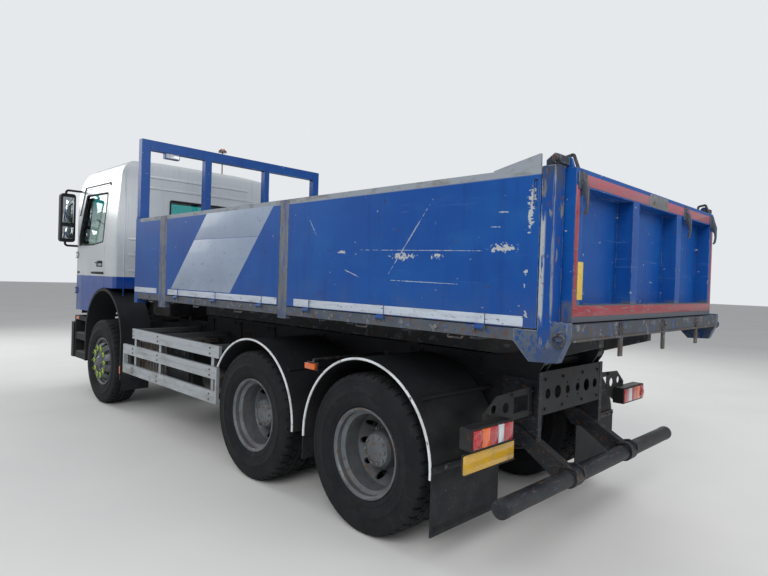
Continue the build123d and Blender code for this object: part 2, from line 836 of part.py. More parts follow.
def mudguard(x, start_deg, end_deg, stay_degs):
    """An arched band over one axle's tyres, with round stays that reach the rail."""
    y = guard_y
    outer = guard_radius + guard_wall
    band = []
    for radius in (guard_radius, outer):
        a, b = radians(start_deg), radians(end_deg)
        m = (a + b) / 2
        points = [(radius * cos(t), radius * sin(t)) for t in (a, m, b)]
        band.append((ThreePointArc(*points), points[0], points[2]))
    ends = [Line(band[0][1], band[1][1]), Line(band[0][2], band[1][2])]
    arch = along_y(make_face(Wire([band[0][0], band[1][0]] + ends)), y)
    for angle in stay_degs:
        at = radians(angle)
        r = outer + 4
        arch += rod_y(16, r * cos(at), (rail_outer_y + seat_gap, y[1] - 60), r * sin(at))
    return Pos(x, 0, guard_z) * arch


def rear_mudguards():
    rear = mudguard(0, -3, 183, (42, 138))
    middle = mudguard(bogie_spread, 31, 183, (42, 138))
    write("rear_mudguards", *both_sides(rear), *both_sides(middle))


flap_wall = 8


def mudflaps():
    edge = guard_radius + guard_wall + seat_gap
    rear = block((-edge - flap_wall, -edge), (guard_y[0] - 8, guard_y[1]), (190, 600))
    between = block((edge, edge + flap_wall), (guard_y[0] + 5, guard_y[1] - 5), (350, 640))
    front_x = arch_x - wing_radius - wing_wall - seat_gap
    front = block((front_x - flap_wall, front_x), (820, 1150), (250, 600))
    write("mudflaps", *both_sides(rear), *both_sides(between), *both_sides(front))


hanger_wall = 12  # the plates on the ends of the rails that carry the rear tube


def underrun_bar():
    bar_x, bar_z, bar_r, half = -1070, 490, 52.5, 1224
    bar = rod_y(bar_r, bar_x, (-half, half), bar_z)
    web = rail_outer_y + seat_gap
    arm = [(-700, 745), (-600, 745), (-610, 690), (-1000, 440), (-1070, 450), (-1090, 530)]
    hanger = [(-560, 1060), (-560, 700), (-640, 600), (rail_rear_x, 600), (rail_rear_x, 1060)]
    for sign in (-1, 1):
        bar += along_y(outline(arm), sorted((sign * (web - 35), sign * (web + 35))))
        bar += along_y(outline(hanger), sorted((sign * web, sign * (web + hanger_wall))))
        flange_y = sorted((sign * web, sign * (web + 45)))
        bar += block((rail_rear_x - hanger_wall, rail_rear_x + 1), flange_y, (600, end_plate_top_z))
        bar += rod_y(bar_r + 12, bar_x, sorted((sign * (web - 50), sign * (web + 50))), bar_z)
    write("underrun_bar", bar)


tail_lamp_x = (-878, -798)
tail_lamp_y = (810, 1230)
tail_lamp_z = (745, 875)


def tail_lamps():
    lamp = fillet(block(tail_lamp_x, tail_lamp_y, tail_lamp_z).edges().filter_by(Axis.X), 18)
    plate_x = (tail_lamp_x[1], tail_lamp_x[1] + 6)
    web = rail_outer_y + hanger_wall + 2 * seat_gap
    shape = [(web, 830), (web, 1015), (560, 1015), (880, 1000), (1010, 905), (1010, 770), (820, 770), (700, 830)]
    bracket = along_x(outline(shape), plate_x)
    through = (plate_x[0] - 1, plate_x[1] + 1)
    bracket -= block(through, (510, 680), (868, 972))
    for radius, y, z in ((34, 770, 918), (27, 900, 925)):
        bracket -= rod_x(radius, through, y, z)
    guard = bracket + lamp
    write("tail_lamps", *both_sides(guard))


# Tipping body
def bed_floor():
    floor = block(
        (tailgate_inner_x + 5, bed_front_x - goalpost_depth),
        (-floor_half_width, floor_half_width),
        (floor_top_z - floor_wall, floor_top_z),
    )
    pieces = [floor]
    for x in (-1180, -860, -340, 180, 480, 930, 1400, 1900, 2400, 2900, 3400, 3610):
        wide = (-floor_half_width, floor_half_width)
        web = block((x - 35, x + 35), wide, (bearer_bottom_z, floor_top_z - floor_wall + 1))
        wide = (wide[0] - 1, wide[1] + 1)
        web -= block((x - 25, x + 36), wide, (bearer_bottom_z + 10, floor_top_z - floor_wall - 10))
        pieces.append(web)
    run_low = rail_outer_y - (rail_flange - 5 + runner_width) / 2
    run_y = (run_low, run_low + runner_width)
    profile = [
        (tip_x + 60, runner_bottom_z),
        (bed_front_x - goalpost_depth - 20, runner_bottom_z),
        (bed_front_x - goalpost_depth - 20, bearer_bottom_z + 1),
        (-1215, bearer_bottom_z + 1),
        (-1215, bearer_bottom_z - 60),
        (tip_x - tip_bush_radius, tip_z),
    ]
    runner = along_y(outline(profile), run_y) + rod_y(tip_bush_radius, tip_x, run_y, tip_z)
    runner -= rod_y(tip_pin_radius + pin_play, tip_x, (run_y[0] - 1, run_y[1] + 1), tip_z)
    pieces += both_sides(runner)
    rave_x = (gusset_front_x + seat_gap, bed_front_x - goalpost_depth - seat_gap)
    rave = block(rave_x, (sill_half_width, bed_half_width), (rave_bottom_z, rave_top_z))
    rave -= block(
        (rave_x[0] - 1, rave_x[1] + 1),
        (sill_half_width - 5, bed_half_width - 10),
        (rave_bottom_z + 10, rave_top_z - 10),
    )
    for post in (front_post_x, middle_post_x):
        slot = (post[0] - seat_gap, post[1] + seat_gap)
        rave -= block(slot, (floor_half_width + 1, bed_half_width + 1), (rave_bottom_z - 1, rave_top_z + 1))
    for x in hinge_places():
        rave += dropside_lugs(x)
    pieces += both_sides(rave)
    sill_y = (-sill_half_width, sill_half_width)
    pieces.append(block((sill_face_x, tailgate_inner_x + 6), sill_y, (sill_bottom_z, floor_top_z)))
    pieces.append(block((sill_rear_x, sill_face_x + 1), sill_y, (sill_bottom_z, sill_bottom_z + 12)))
    for y in (-700, -40, 620):
        pieces.append(block((sill_rear_x, sill_rear_x + 14), (y - 18, y + 18), (1300, sill_bottom_z + 1)))
    clevis = []
    for sign in (-1, 1):
        y = sorted((sign * 62, sign * 80))
        cheek = block((ram_x - 70, ram_x + 70), y, (ram_eye_z - 45, floor_top_z - floor_wall + 1))
        clevis.append(cheek + rod_y(30, ram_x, sorted((sign * 70, sign * 92)), ram_eye_z))
    pieces += clevis
    bed = fuse(pieces)
    corner_x = (sill_rear_x, gusset_front_x + seat_gap)
    for sign in (-1, 1):
        beyond = sorted((sign * sill_half_width, sign * (bed_half_width + 50)))
        bed -= block(corner_x, beyond, (rave_bottom_z - 120, floor_top_z + 1))
    write("bed_floor", bed)


def dropside_spans():
    """Name, rear X and front X of the two dropsides on each side."""
    rear = (corner_post_x[1] + panel_gap, middle_post_x[0] - panel_gap)
    front = (middle_post_x[1] + panel_gap, front_post_x[0] - panel_gap)
    return [("rear", *rear), ("front", *front)]


def hinge_places():
    places = []
    for name, rear, front in dropside_spans():
        first = rear + hinge_inset + (rear_overhang if name == "rear" else 0)
        step = (front - hinge_inset - first) / (hinges_a_side - 1)
        places += [first + step * index for index in range(hinges_a_side)]
    return places


def dropside_lugs(x):
    """Two lugs on the rave and the pin between them that a dropside turns on."""
    half = dropside_knuckle_length / 2
    shape = [
        (bed_half_width - 2, rave_bottom_z + 20),
        (bed_half_width - 2, rave_top_z - 2),
        (dropside_hinge_y, dropside_hinge_z + 9),
        (dropside_hinge_y + 9, dropside_hinge_z),
        (dropside_hinge_y, dropside_hinge_z - 11),
    ]
    pair = []
    for x0 in (x - half - 11, x + half + 1):
        pair.append(along_x(outline(shape), (x0, x0 + 10)))
    pin = rod_x(dropside_pin_radius, (x - half - 11, x + half + 11), dropside_hinge_y, dropside_hinge_z)
    return fuse(pair + [pin])


def dropside(rear, front):
    """A flat double-skinned side panel with a cap rail, hinge straps and a handle slot."""
    y = (bed_half_width - side_wall, bed_half_width)
    z = (dropside_bottom_z, dropside_top_z)
    panel = block((rear, front), y, z)
    cap_z = dropside_top_z - top_rail_height
    panel -= block((rear - 1, front + 1), (y[0] - 1, y[0] + 5), (z[0] + 60, cap_z))
    for x in [place for place in hinge_places() if rear < place < front]:
        half = dropside_knuckle_length / 2
        strap_z = (dropside_hinge_z, dropside_bottom_z + 60)
        panel += block((x - half, x + half), (y[1] + 1.5, y[1] + 7), strap_z)
        panel += block((x - half, x + half), (y[1] - 1, y[1] + 7), (dropside_bottom_z, dropside_bottom_z + 60))
        panel += rod_x(dropside_knuckle_radius, (x - half, x + half), dropside_hinge_y, dropside_hinge_z)
        panel -= rod_x(
            dropside_pin_radius + pin_play, (x - half - 1, x + half + 1), dropside_hinge_y, dropside_hinge_z
        )
    return panel


def dropsides():
    for name, rear, front in dropside_spans():
        panel = dropside(rear, front)
        if name == "rear":
            slot = outline([(rear + 14, 2065), (rear + 41, 2065), (rear + 41, 2213), (rear + 14, 2213)], 12)
            panel -= along_y(slot, (bed_half_width - 12, bed_half_width + 1))
            top = dropside_top_z
            wedge = [(rear + 4, top - 5), (-978, top - 5), (-978, top + 6), (rear + 14, 2334), (rear + 4, 2334)]
            panel += along_y(outline(wedge), (bed_half_width - 12, bed_half_width))
        write(f"dropside_{name}_left", panel)
        write(f"dropside_{name}_right", other_side(panel))


def headboard():
    wall_x = (bed_front_x - headboard_wall, bed_front_x)
    frame_x = (bed_front_x - goalpost_depth, bed_front_x)
    base_z = floor_top_z - 30
    board_top_z = dropside_top_z + 30
    pieces = [block(wall_x, (-board_half_width, board_half_width), (base_z, board_top_z))]
    # middle Y, width, lower Z of each upright
    end_y = goalpost_half_width - 50
    foot_z = rave_bottom_z - 47
    posts = [(end_y, 100, foot_z), (440, 84, base_z), (-385, 72, base_z), (-end_y, 100, foot_z)]
    for y, wide, low in posts:
        pieces.append(block(frame_x, (y - wide / 2, y + wide / 2), (low, goalpost_top_z - 5)))
    rail_z = (goalpost_top_z - goalpost_rail, goalpost_top_z)
    wide = (-goalpost_half_width, goalpost_half_width)
    pieces.append(block(frame_x, wide, rail_z))
    pieces.append(block(frame_x, wide, (board_top_z - 70, board_top_z)))
    for sign in (-1, 1):
        side = sorted((sign * (bed_half_width - side_wall), sign * bed_half_width))
        x = (front_post_x[1] + seat_gap, bed_front_x - 2)
        pieces.append(block(x, side, (rave_top_z + seat_gap, dropside_top_z)))
        pieces.append(block((x[1] - 76, x[1]), side, (foot_z, dropside_top_z)))
    lamp = block((bed_front_x - 70, bed_front_x - 10), (800, 970), (rail_z[0] - 62, rail_z[0] + 1))
    pieces.append(lamp)
    board = fuse(pieces)
    write("headboard", board)


def bed_posts():
    y = (bed_half_width - 85, bed_half_width)
    top = dropside_top_z
    # rear X, front X, lower Z
    posts = []
    for rear, front, low in ((*front_post_x, 1330), (*middle_post_x, 1365)):
        post = block((rear, front), (y[0] + 39, y[1]), (low, top))
        inner = block((rear, front), y, (floor_top_z + seat_gap, top))
        posts.append(post + inner)
    corner = block(
        corner_post_x,
        (bed_half_width - corner_post_width, bed_half_width),
        (floor_top_z + seat_gap, top),
    )
    gusset = [
        (corner_post_x[1], 1500),
        (corner_post_x[1], rave_top_z),
        (gusset_front_x, rave_top_z),
        (gusset_front_x, rave_bottom_z),
        (-1223, 1295),
        (-1374, 1303),
        (sill_face_x, 1412),
        (sill_face_x, 1500),
    ]
    gusset_y = (sill_half_width + seat_gap, bed_half_width)
    corner += along_y(outline(gusset), gusset_y)
    pin_y = (tailgate_half_width - 40, bed_half_width - 7)
    ear_y = (tailgate_half_width + 5, bed_half_width - 15)
    ear = [
        (corner_post_x[1] - 10, top - 2),
        (corner_post_x[1] - 10, top + 30),
        (tailgate_hinge_x + 10, tailgate_hinge_z + 30),
        (tailgate_hinge_x - 22, tailgate_hinge_z + 18),
        (tailgate_hinge_x - 22, tailgate_hinge_z - 18),
        (corner_post_x[0], top + 4),
        (corner_post_x[0], top - 2),
    ]
    corner += along_y(outline(ear), ear_y)
    corner += rod_y(tailgate_pin_radius, tailgate_hinge_x, pin_y, tailgate_hinge_z)
    corner += rod_y(24, -1392, (bed_half_width - 20, bed_half_width + 12), 1434)
    posts.append(corner)
    write("bed_posts", *[one for post in posts for one in both_sides(post)])


def tailgate():
    """A box-framed gate with two ribs, three recessed panels, hinge arms and top hooks."""
    x = (tailgate_outer_x, tailgate_inner_x)
    z = (tailgate_bottom_z, dropside_top_z)
    gate = block(x, (-tailgate_half_width, tailgate_half_width), z)
    pocket_x = (x[0] - 1, x[1] - tailgate_skin)
    half_rib = tailgate_rib_width / 2
    edge = tailgate_half_width - 75
    spans = [
        (-edge, -tailgate_rib_y - half_rib),
        (-tailgate_rib_y + half_rib, tailgate_rib_y - half_rib),
        (tailgate_rib_y + half_rib, edge),
    ]
    for span in spans:
        gate -= block(pocket_x, span, (z[0] + 88, z[1] - 88))
    for sign in (-1, 1):
        arm_y = sorted((sign * (tailgate_half_width - 25), sign * (tailgate_half_width - 3)))
        arm = [
            (tailgate_hinge_x - 40, z[1] - 2),
            (tailgate_hinge_x + 40, z[1] - 2),
            (tailgate_hinge_x + 26, tailgate_hinge_z + 10),
            (tailgate_hinge_x - 26, tailgate_hinge_z + 10),
        ]
        gate += along_y(outline(arm), arm_y) + rod_y(28, tailgate_hinge_x, arm_y, tailgate_hinge_z)
        bore_y = (arm_y[0] - 1, arm_y[1] + 1)
        gate -= rod_y(tailgate_pin_radius + pin_play, tailgate_hinge_x, bore_y, tailgate_hinge_z)
    write("tailgate", gate)


# Ram, drawn upright at rest
def ram():
    step = ram_wall + seat_gap
    barrel = rod_z(ram_radius, ram_x, 0, (ram_bottom_z, ram_top_z))
    barrel += rod_y(ram_trunnion_radius, ram_x, (-ram_cheek_y - 20, ram_cheek_y + 20), ram_base_z)
    barrel += rod_y(ram_trunnion_radius + 14, ram_x, (-ram_cheek_y + 2, ram_cheek_y - 2), ram_base_z)
    bore = ram_radius - ram_wall
    barrel -= rod_z(bore, ram_x, 0, (ram_bottom_z + 20, ram_top_z + 1))
    write("ram_barrel", barrel)
    for stage in range(1, ram_stages + 1):
        outer = ram_radius - stage * step
        low = ram_bottom_z + 20 + stage * 4
        high = ram_top_z + stage * 10
        tube = rod_z(outer, ram_x, 0, (low, high))
        if stage < ram_stages:
            tube -= rod_z(outer - ram_wall, ram_x, 0, (low + 3.5, high + 1))
        else:
            tube += block((ram_x - 28, ram_x + 28), (-40, 40), (high - 5, ram_eye_z))
            tube += rod_y(44, ram_x, (-40, 40), ram_eye_z)
            tube += rod_y(25, ram_x, (-61, 61), ram_eye_z)
        write(f"ram_stage_{stage}", tube)


# Cab
def cab_side_face():
    front = cab_front_x
    return Wire(
        [
            Line((cab_rear_x, cab_floor_z), (cab_rear_x, 3050)),
            ThreePointArc((cab_rear_x, 3050), (cab_rear_x + 22, 3102), (cab_rear_x + 75, 3122)),
            Line((cab_rear_x + 75, 3122), (5420, cab_roof_z)),
            ThreePointArc((5420, cab_roof_z), (5880, 3045), (6170, 2800)),
            Line((6170, 2800), (front - 25, 1960)),
            ThreePointArc((front - 25, 1960), (front - 6, 1885), (front, 1800)),
            Line((front, 1800), (front, cab_lip_z)),
            Line((front, cab_lip_z), (cab_pivot_x - 10, cab_lip_z)),
            Line((cab_pivot_x - 10, cab_lip_z), (cab_pivot_x - 10, cab_floor_z)),
            Line((cab_pivot_x - 10, cab_floor_z), (cab_rear_x, cab_floor_z)),
        ]
    )


def cab_front_face():
    half = cab_half_width
    edges = [Line((-half, cab_lip_z), (half, cab_lip_z))]
    for s in (1, -1):
        edges += [
            Line((s * half, cab_lip_z), (s * half, cab_belt_z)),
            Line((s * half, cab_belt_z), (s * 1078, 2900)),
            ThreePointArc((s * 1078, 2900), (s * 1042, 3010), (s * 950, 3085)),
        ]
    edges.append(ThreePointArc((950, 3085), (0, cab_roof_z + 5), (-950, 3085)))
    return Wire(edges)


def cab_plan_face():
    half = cab_half_width
    edges = []
    for s in (1, -1):
        edges += [
            Line((cab_rear_x, 0), (cab_rear_x, s * (half - 45))),
            ThreePointArc(
                (cab_rear_x, s * (half - 45)), (cab_rear_x + 13, s * (half - 13)), (cab_rear_x + 45, s * half)
            ),
            Line((cab_rear_x + 45, s * half), (5850, s * half)),
            Line((5850, s * half), (6110, s * (half - 23))),
            ThreePointArc((6110, s * (half - 23)), (6246, s * 1035), (cab_front_x - 50, s * 850)),
        ]
    edges.append(ThreePointArc((cab_front_x - 50, 850), (cab_front_x + 1, 0), (cab_front_x - 50, -850)))
    return Wire(edges)


def cab_block(inset):
    """The cab's outer form, drawn in by a wall; a negative inset stands proud of it."""
    faces = []
    for wire in (cab_side_face(), cab_front_face(), cab_plan_face()):
        face = Sketch() + make_face(wire)
        if inset:
            face = offset(face, amount=-inset, kind=Kind.INTERSECTION)
        faces.append(face)
    side, front, plan = faces
    reach = 1300
    whole = along_y(side, (-reach, reach)) & along_x(front, (cab_rear_x - 200, cab_front_x + 200))
    return whole & along_z(plan, (900, 3400))


def under_cab(grow):
    """The space that the wheel arches, chassis and engine take from the cab's underside."""
    wide = (-1400, 1400)
    radius = cab_arch_radius + grow
    space = rod_y(radius, arch_x, wide, arch_z)
    space += block((cab_rear_x - 300, arch_x), wide, (500, arch_z + radius))
    half = tunnel_half_width + grow
    space += block((cab_rear_x - 300, tunnel_front_x + grow), (-half, half), (500, tunnel_top_z + grow))
    return space


def door_zone(grow):
    g = grow
    points = [
        (door_rear_x - g, 1000),
        (door_rear_x - g, 2790 + g),
        (5890, 2800 + g),
        (door_front_x + g, 2010),
        (door_front_x + g, cab_floor_z + 6 - g),
        (5500, cab_floor_z + 6 - g),
        (5500, 1000),
    ]
    return along_y(outline(points), (1015, 1300))


def door_window(grow):
    g = grow
    points = [
        (5062 - g, 2062 - g),
        (5062 - g, 2700 + g),
        (5862 + g, 2722 + g),
        (5992 + g, 2150),
        (5985 + g, 2030 - g),
        (5400, 2030 - g),
    ]
    return along_y(outline(points, 30), (900, 1300))


def windscreen_zone(grow):
    g = grow
    points = [(-940 - g, 2020 - g), (940 + g, 2020 - g), (905 + g, 2800 + g), (-905 - g, 2800 + g)]
    return along_x(outline(points, 60), (6050, 6500))


def rear_window_zone(grow):
    g = grow
    points = [(-450 - g, 2290 - g), (450 + g, 2290 - g), (450 + g, 2640 + g), (-450 - g, 2640 + g)]
    return along_x(outline(points, 40), (4500, 4800))


def door_skin():
    """A door's shell, open at its foot down to the arch and with its window cut out."""
    skin = cab_block(0) & door_zone(0)
    skin -= cab_block(cab_wall)
    skin -= Pos(0, 0, -250) * cab_block(cab_wall)
    skin -= under_cab(0)
    return skin - door_window(0)


def cab():
    door = door_skin()
    shell = cab_block(0) - (cab_block(cab_wall) - under_cab(cab_wall)) - under_cab(0)
    shell -= windscreen_zone(0)
    shell -= rear_window_zone(0)
    opening = door_zone(panel_gap)
    shell -= opening
    shell -= other_side(opening)
    glass_shell = cab_block(glass_inset) - cab_block(glass_inset + glass_wall)
    panes = [glass_shell & windscreen_zone(-seat_gap), glass_shell & rear_window_zone(-seat_gap)]
    door_glass = glass_shell & door_window(-seat_gap)
    # door hinges: a pin and two lugs on the cab, a knuckle on the door
    for z in (1400, 1900):
        pin = rod_z(door_pin_radius, door_hinge_x, door_hinge_y, (z - 45, z + 45))
        lug_zs = ((z - 45, z - 26), (z + 26, z + 45))
        hinge = pin
        for lug_z in lug_zs:
            leaf = block((door_hinge_x, door_hinge_x + 50), (door_hinge_y - 20, door_hinge_y + 8), lug_z)
            hinge += rod_z(14, door_hinge_x, door_hinge_y, lug_z) + leaf
        shell += hinge
        shell += other_side(hinge)
        knuckle_z = (z - 25, z + 25)
        leaf = block((door_hinge_x - 60, door_hinge_x), (door_hinge_y - 20, door_hinge_y + 8), knuckle_z)
        door += rod_z(14, door_hinge_x, door_hinge_y, knuckle_z) + leaf
        bore = rod_z(door_pin_radius + pin_play, door_hinge_x, door_hinge_y, (z - 26, z + 26))
        door -= bore
        clear = rod_z(20, door_hinge_x, door_hinge_y, (z - 26, z + 26)) - rod_z(
            door_pin_radius, door_hinge_x, door_hinge_y, (z - 27, z + 27)
        )
        shell -= clear
        shell -= other_side(clear)
        for lug_z in lug_zs:
            room = rod_z(18, door_hinge_x, door_hinge_y, (lug_z[0] - 1, lug_z[1] + 1))
            door -= room
    # tilt lugs under the front lip
    for y in (-cab_lug_y, cab_lug_y):
        span = (y - 15, y + 15)
        lug = rod_y(cab_lug_radius, cab_pivot_x, span, cab_pivot_z)
        lug += block((cab_pivot_x - 30, cab_pivot_x + 35), span, (cab_pivot_z, cab_lip_z + 20))
        lug -= rod_y(cab_pin_radius + pin_play, cab_pivot_x, (span[0] - 1, span[1] + 1), cab_pivot_z)
        shell += lug
    write("cab_shell", shell)
    write("cab_glass", *panes)
    write("door_left", door)
    write("door_right", other_side(door))
    write("door_glass_left", door_glass)
    write("door_glass_right", other_side(door_glass))
    return cab_block(-seat_gap)


def grille():
    band = cab_block(-22) - cab_block(-seat_gap)
    half = 760
    low, high = 1150, 1760
    slats = [block((6200, 6450), (-half, half), (low + 105 * n, low + 105 * n + 62)) for n in range(6)]
    bars = [block((6200, 6450), (y - 18, y + 18), (low, high)) for y in (-half + 18, 0, half - 18)]
    write("grille", band & fuse(slats + bars))


def mirrors(skin):
    head_x = (6065, 6170)
    head_y = (1172, 1368)
    head = fillet(block(head_x, head_y, (2075, 2750)).edges().filter_by(Axis.X), 40)
    head = fillet(head.edges().filter_by(Axis.Z), 12)
    x = (head_x[0] + head_x[1]) / 2
    # start and bend height of each arm
    for start_z, bend_z in ((2740, 2800), (2085, 2025)):
        path = FilletPolyline((x, 1290, start_z), (x, 1290, bend_z), (x, 1010, bend_z), radius=35)
        turn = 1 if bend_z > start_z else -1
        arm = sweep(Plane((x, 1290, start_z), z_dir=(0, 0, turn)) * Circle(15), path=path)
        head += arm - skin
    write("mirrors", *both_sides(head))


def beacon(skin):
    pole = rod_z(9, 5000, -480, (3050, 3500)) - skin
    pole = pole & block((4900, 5100), (-600, -400), (3100, 3600))
    cap = rod_z(62, 5000, -480, (3496, 3520)) + rod_z(40, 5000, -480, (3515, 3540))
    write("beacon", pole + cap)


def cab_inside():
    floor_top = arch_z + cab_arch_radius + cab_wall + seat_gap
    seats = []
    bases = []
    for y in (-620, 620):
        wide = (y - 250, y + 250)
        base = block((4860, 5330), (y - 165, y + 165), (1300, floor_top + 210))
        bases.append(base - under_cab(cab_wall + seat_gap))
        cushion_z = (floor_top + 210 + seat_gap, floor_top + 350)
        cushion = fillet(block((4870, 5390), wide, cushion_z).edges(), 40)
        back = fillet(Box(130, 480, 700).edges(), 45)
        back = Pos(4850, y, floor_top + 300) * Rot(0, -8, 0) * Pos(0, 0, 340) * back
        seats.append(cushion + back)
    write("seats", *seats)
    write("seat_bases", *bases)
    dash = [(5930, 1720), (5900, 1950), (5960, 2010), (6150, 2000), (6290, 1930), (6290, 1720)]
    board = along_y(outline(dash, 20), (-1010, 1010))
    board = board & cab_block(cab_wall + seat_gap)
    lower = block((6000, 6290), (-1010, 1010), (1630, 1730)) & cab_block(cab_wall + seat_gap)
    column = rod_between(34, steering_point(23 + seat_gap), steering_point(330))
    board = board + lower + column
    write("dashboard", board)
    ring = Torus(steering_wheel_radius - 16, 16)
    hub = Cylinder(58, 46)
    spokes = [Box(2 * steering_wheel_radius - 32, 34, 16), Pos(0, -100, 0) * Box(34, 200, 16)]
    wheel = fuse([ring, hub] + spokes)
    tilt = Rot(0, -90 + steering_wheel_tilt, 0) * Rot(0, 0, 90)
    write("steering_wheel", Pos(steering_wheel_x, steering_wheel_y, steering_wheel_z) * tilt * wheel)


def steering_point(distance):
    """A point on the steering column, so far ahead of and below the wheel's middle."""
    lean = radians(steering_wheel_tilt)
    return (
        steering_wheel_x + distance * cos(lean),
        steering_wheel_y,
        steering_wheel_z - distance * sin(lean),
    )


wheels()
front_axle()
steering()
chassis_frame()
subframe()
drive_axles()
prop_shafts()
leaf_springs()
engine_block()
fuel_tank()
exhaust_box()
air_tanks()
battery_box()
hydraulic_tank()
front_wings()
front_bumper()
headlamps()
side_guards()
rear_mudguards()
mudflaps()
underrun_bar()
tail_lamps()
bed_floor()
dropsides()
headboard()
bed_posts()
tailgate()
ram()
cab_skin = cab()
grille()
mirrors(cab_skin)
beacon(cab_skin)
cab_inside()
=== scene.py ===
import math

import bpy
from mathutils import Matrix, Vector


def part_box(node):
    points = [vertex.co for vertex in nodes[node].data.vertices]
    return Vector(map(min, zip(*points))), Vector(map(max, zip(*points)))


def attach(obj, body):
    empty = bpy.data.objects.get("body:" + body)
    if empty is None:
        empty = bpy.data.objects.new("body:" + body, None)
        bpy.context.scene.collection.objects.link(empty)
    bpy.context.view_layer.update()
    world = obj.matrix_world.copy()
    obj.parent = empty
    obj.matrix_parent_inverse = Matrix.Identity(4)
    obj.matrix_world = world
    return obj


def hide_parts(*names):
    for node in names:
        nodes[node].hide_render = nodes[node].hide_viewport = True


# Three-axle tipper truck. Places below are metres from the rearmost axle: X forward, Y to the
# truck's left, Z up from the ground. fitPiece moves each piece into the frame's own place.
print("loading the frame")
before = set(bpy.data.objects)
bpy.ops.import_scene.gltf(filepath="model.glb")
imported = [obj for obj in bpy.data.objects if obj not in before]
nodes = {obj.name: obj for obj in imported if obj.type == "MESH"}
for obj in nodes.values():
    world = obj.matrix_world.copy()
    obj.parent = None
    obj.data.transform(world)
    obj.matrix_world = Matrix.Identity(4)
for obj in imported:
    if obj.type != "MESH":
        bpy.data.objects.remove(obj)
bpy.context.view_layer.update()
rimLow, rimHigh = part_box("rim_rear_left")
rearAxleX = (rimLow.x + rimHigh.x) / 2
axleHeight = (rimLow.z + rimHigh.z) / 2
sides = ("left", "right")
axles = ("front", "middle", "rear")
outward, rearward, upwards = (0, 1, 0), (-1, 0, 0), (0, 0, 1)
shapeSettings = {"bevelFrom": 35, "mergeWithin": 0.00001}  # degrees, metres
maskSettings = {
    "noiseRough": 0.6,
    "markFade": (1.7, 0.3),  # where a mark is gone and where it is full, in its own half sizes
    "markReach": 1000,
    "towards": (0.0, 0.02),
    "edgeSamples": 4,
    "edgeTurn": (0.99, 0.86),  # cosine between a face and its rounded edge, from bare face to worn edge
}


def deselectAll():
    bpy.ops.object.select_all(action="DESELECT")


def activate(piece):
    deselectAll()
    piece.select_set(True)
    bpy.context.view_layer.objects.active = piece


def settle(piece):
    activate(piece)
    bpy.ops.object.transform_apply(location=True, rotation=True, scale=True)


def useModifier(piece, kind, **settings):
    activate(piece)
    added = piece.modifiers.new(kind.lower(), kind)
    for setting, value in settings.items():
        setattr(added, setting, value)
    bpy.ops.object.modifier_apply(modifier=added.name)


def roundEdges(piece, width, steps=2):
    limit = {"limit_method": "ANGLE", "angle_limit": math.radians(shapeSettings["bevelFrom"])}
    useModifier(piece, "BEVEL", width=width, segments=steps, **limit)
    return piece


def mendNormals(piece):
    activate(piece)
    bpy.ops.object.mode_set(mode="EDIT")
    bpy.ops.mesh.select_all(action="SELECT")
    bpy.ops.mesh.remove_doubles(threshold=shapeSettings["mergeWithin"])
    bpy.ops.mesh.normals_make_consistent(inside=False)
    bpy.ops.object.mode_set(mode="OBJECT")
    return piece


def slab(name, low, high, edge=0.0, steps=2):
    deselectAll()
    low, high = Vector(low), Vector(high)
    bpy.ops.mesh.primitive_cube_add(size=1, location=(low + high) / 2)
    piece = bpy.context.object
    piece.name = name
    piece.scale = high - low
    settle(piece)
    return roundEdges(piece, edge, steps) if edge else piece


def rod(name, start, end, radius, around=20, edge=0.0):
    deselectAll()
    start, end = Vector(start), Vector(end)
    run = end - start
    turn = run.to_track_quat("Z", "Y").to_euler()
    bpy.ops.mesh.primitive_cylinder_add(
        vertices=around, radius=radius, depth=run.length, location=(start + end) / 2, rotation=turn
    )
    piece = bpy.context.object
    piece.name = name
    settle(piece)
    return roundEdges(piece, edge, 2) if edge else piece


def bentRod(name, corners, radius, bend=0.03, around=3):
    # a round bar through straight runs, with each corner rounded over the length of bend
    route = [Vector(corners[0])]
    for before, corner, after in zip(corners, corners[1:], corners[2:]):
        before, corner, after = Vector(before), Vector(corner), Vector(after)
        route += [
            corner + (before - corner).normalized() * bend,
            corner,
            corner + (after - corner).normalized() * bend,
        ]
    route.append(Vector(corners[-1]))
    deselectAll()
    bpy.ops.curve.primitive_nurbs_path_add()
    path = bpy.context.object
    path.name = name
    path.data.splines.clear()
    line = path.data.splines.new("NURBS")
    line.points.add(len(route) - 1)
    for point, place in zip(line.points, route):
        point.co = (*place, 1)
    line.order_u = 3
    line.use_endpoint_u = True
    line.resolution_u = 5
    path.data.bevel_depth = radius
    path.data.bevel_resolution = around
    path.data.use_fill_caps = True
    bpy.ops.object.convert(target="MESH")
    return mendNormals(bpy.context.object)


def plate(name, corners, push, edge=0.0):
    # a flat outline in space, thickened along push
    deselectAll()
    bpy.ops.mesh.primitive_circle_add(vertices=len(corners), radius=1, fill_type="NGON")
    piece = bpy.context.object
    piece.name = name
    for vertex, corner in zip(piece.data.vertices, corners):
        vertex.co = corner
    bpy.ops.object.mode_set(mode="EDIT")
    bpy.ops.mesh.select_all(action="SELECT")
    bpy.ops.mesh.extrude_region_move(TRANSFORM_OT_translate={"value": push})
    bpy.ops.object.mode_set(mode="OBJECT")
    mendNormals(piece)
    return roundEdges(piece, edge, 2) if edge else piece


def sheetAcrossX(name, x, corners, thick, edge):
    # a flat sheet at x with its corners as (y, z), thickened along X
    return plate(name, [(x, y, z) for y, z in corners], (thick, 0, 0), edge)


def sheetAcrossY(name, y, corners, thick, edge):
    return plate(name, [(x, y, z) for x, z in corners], (0, thick, 0), edge)


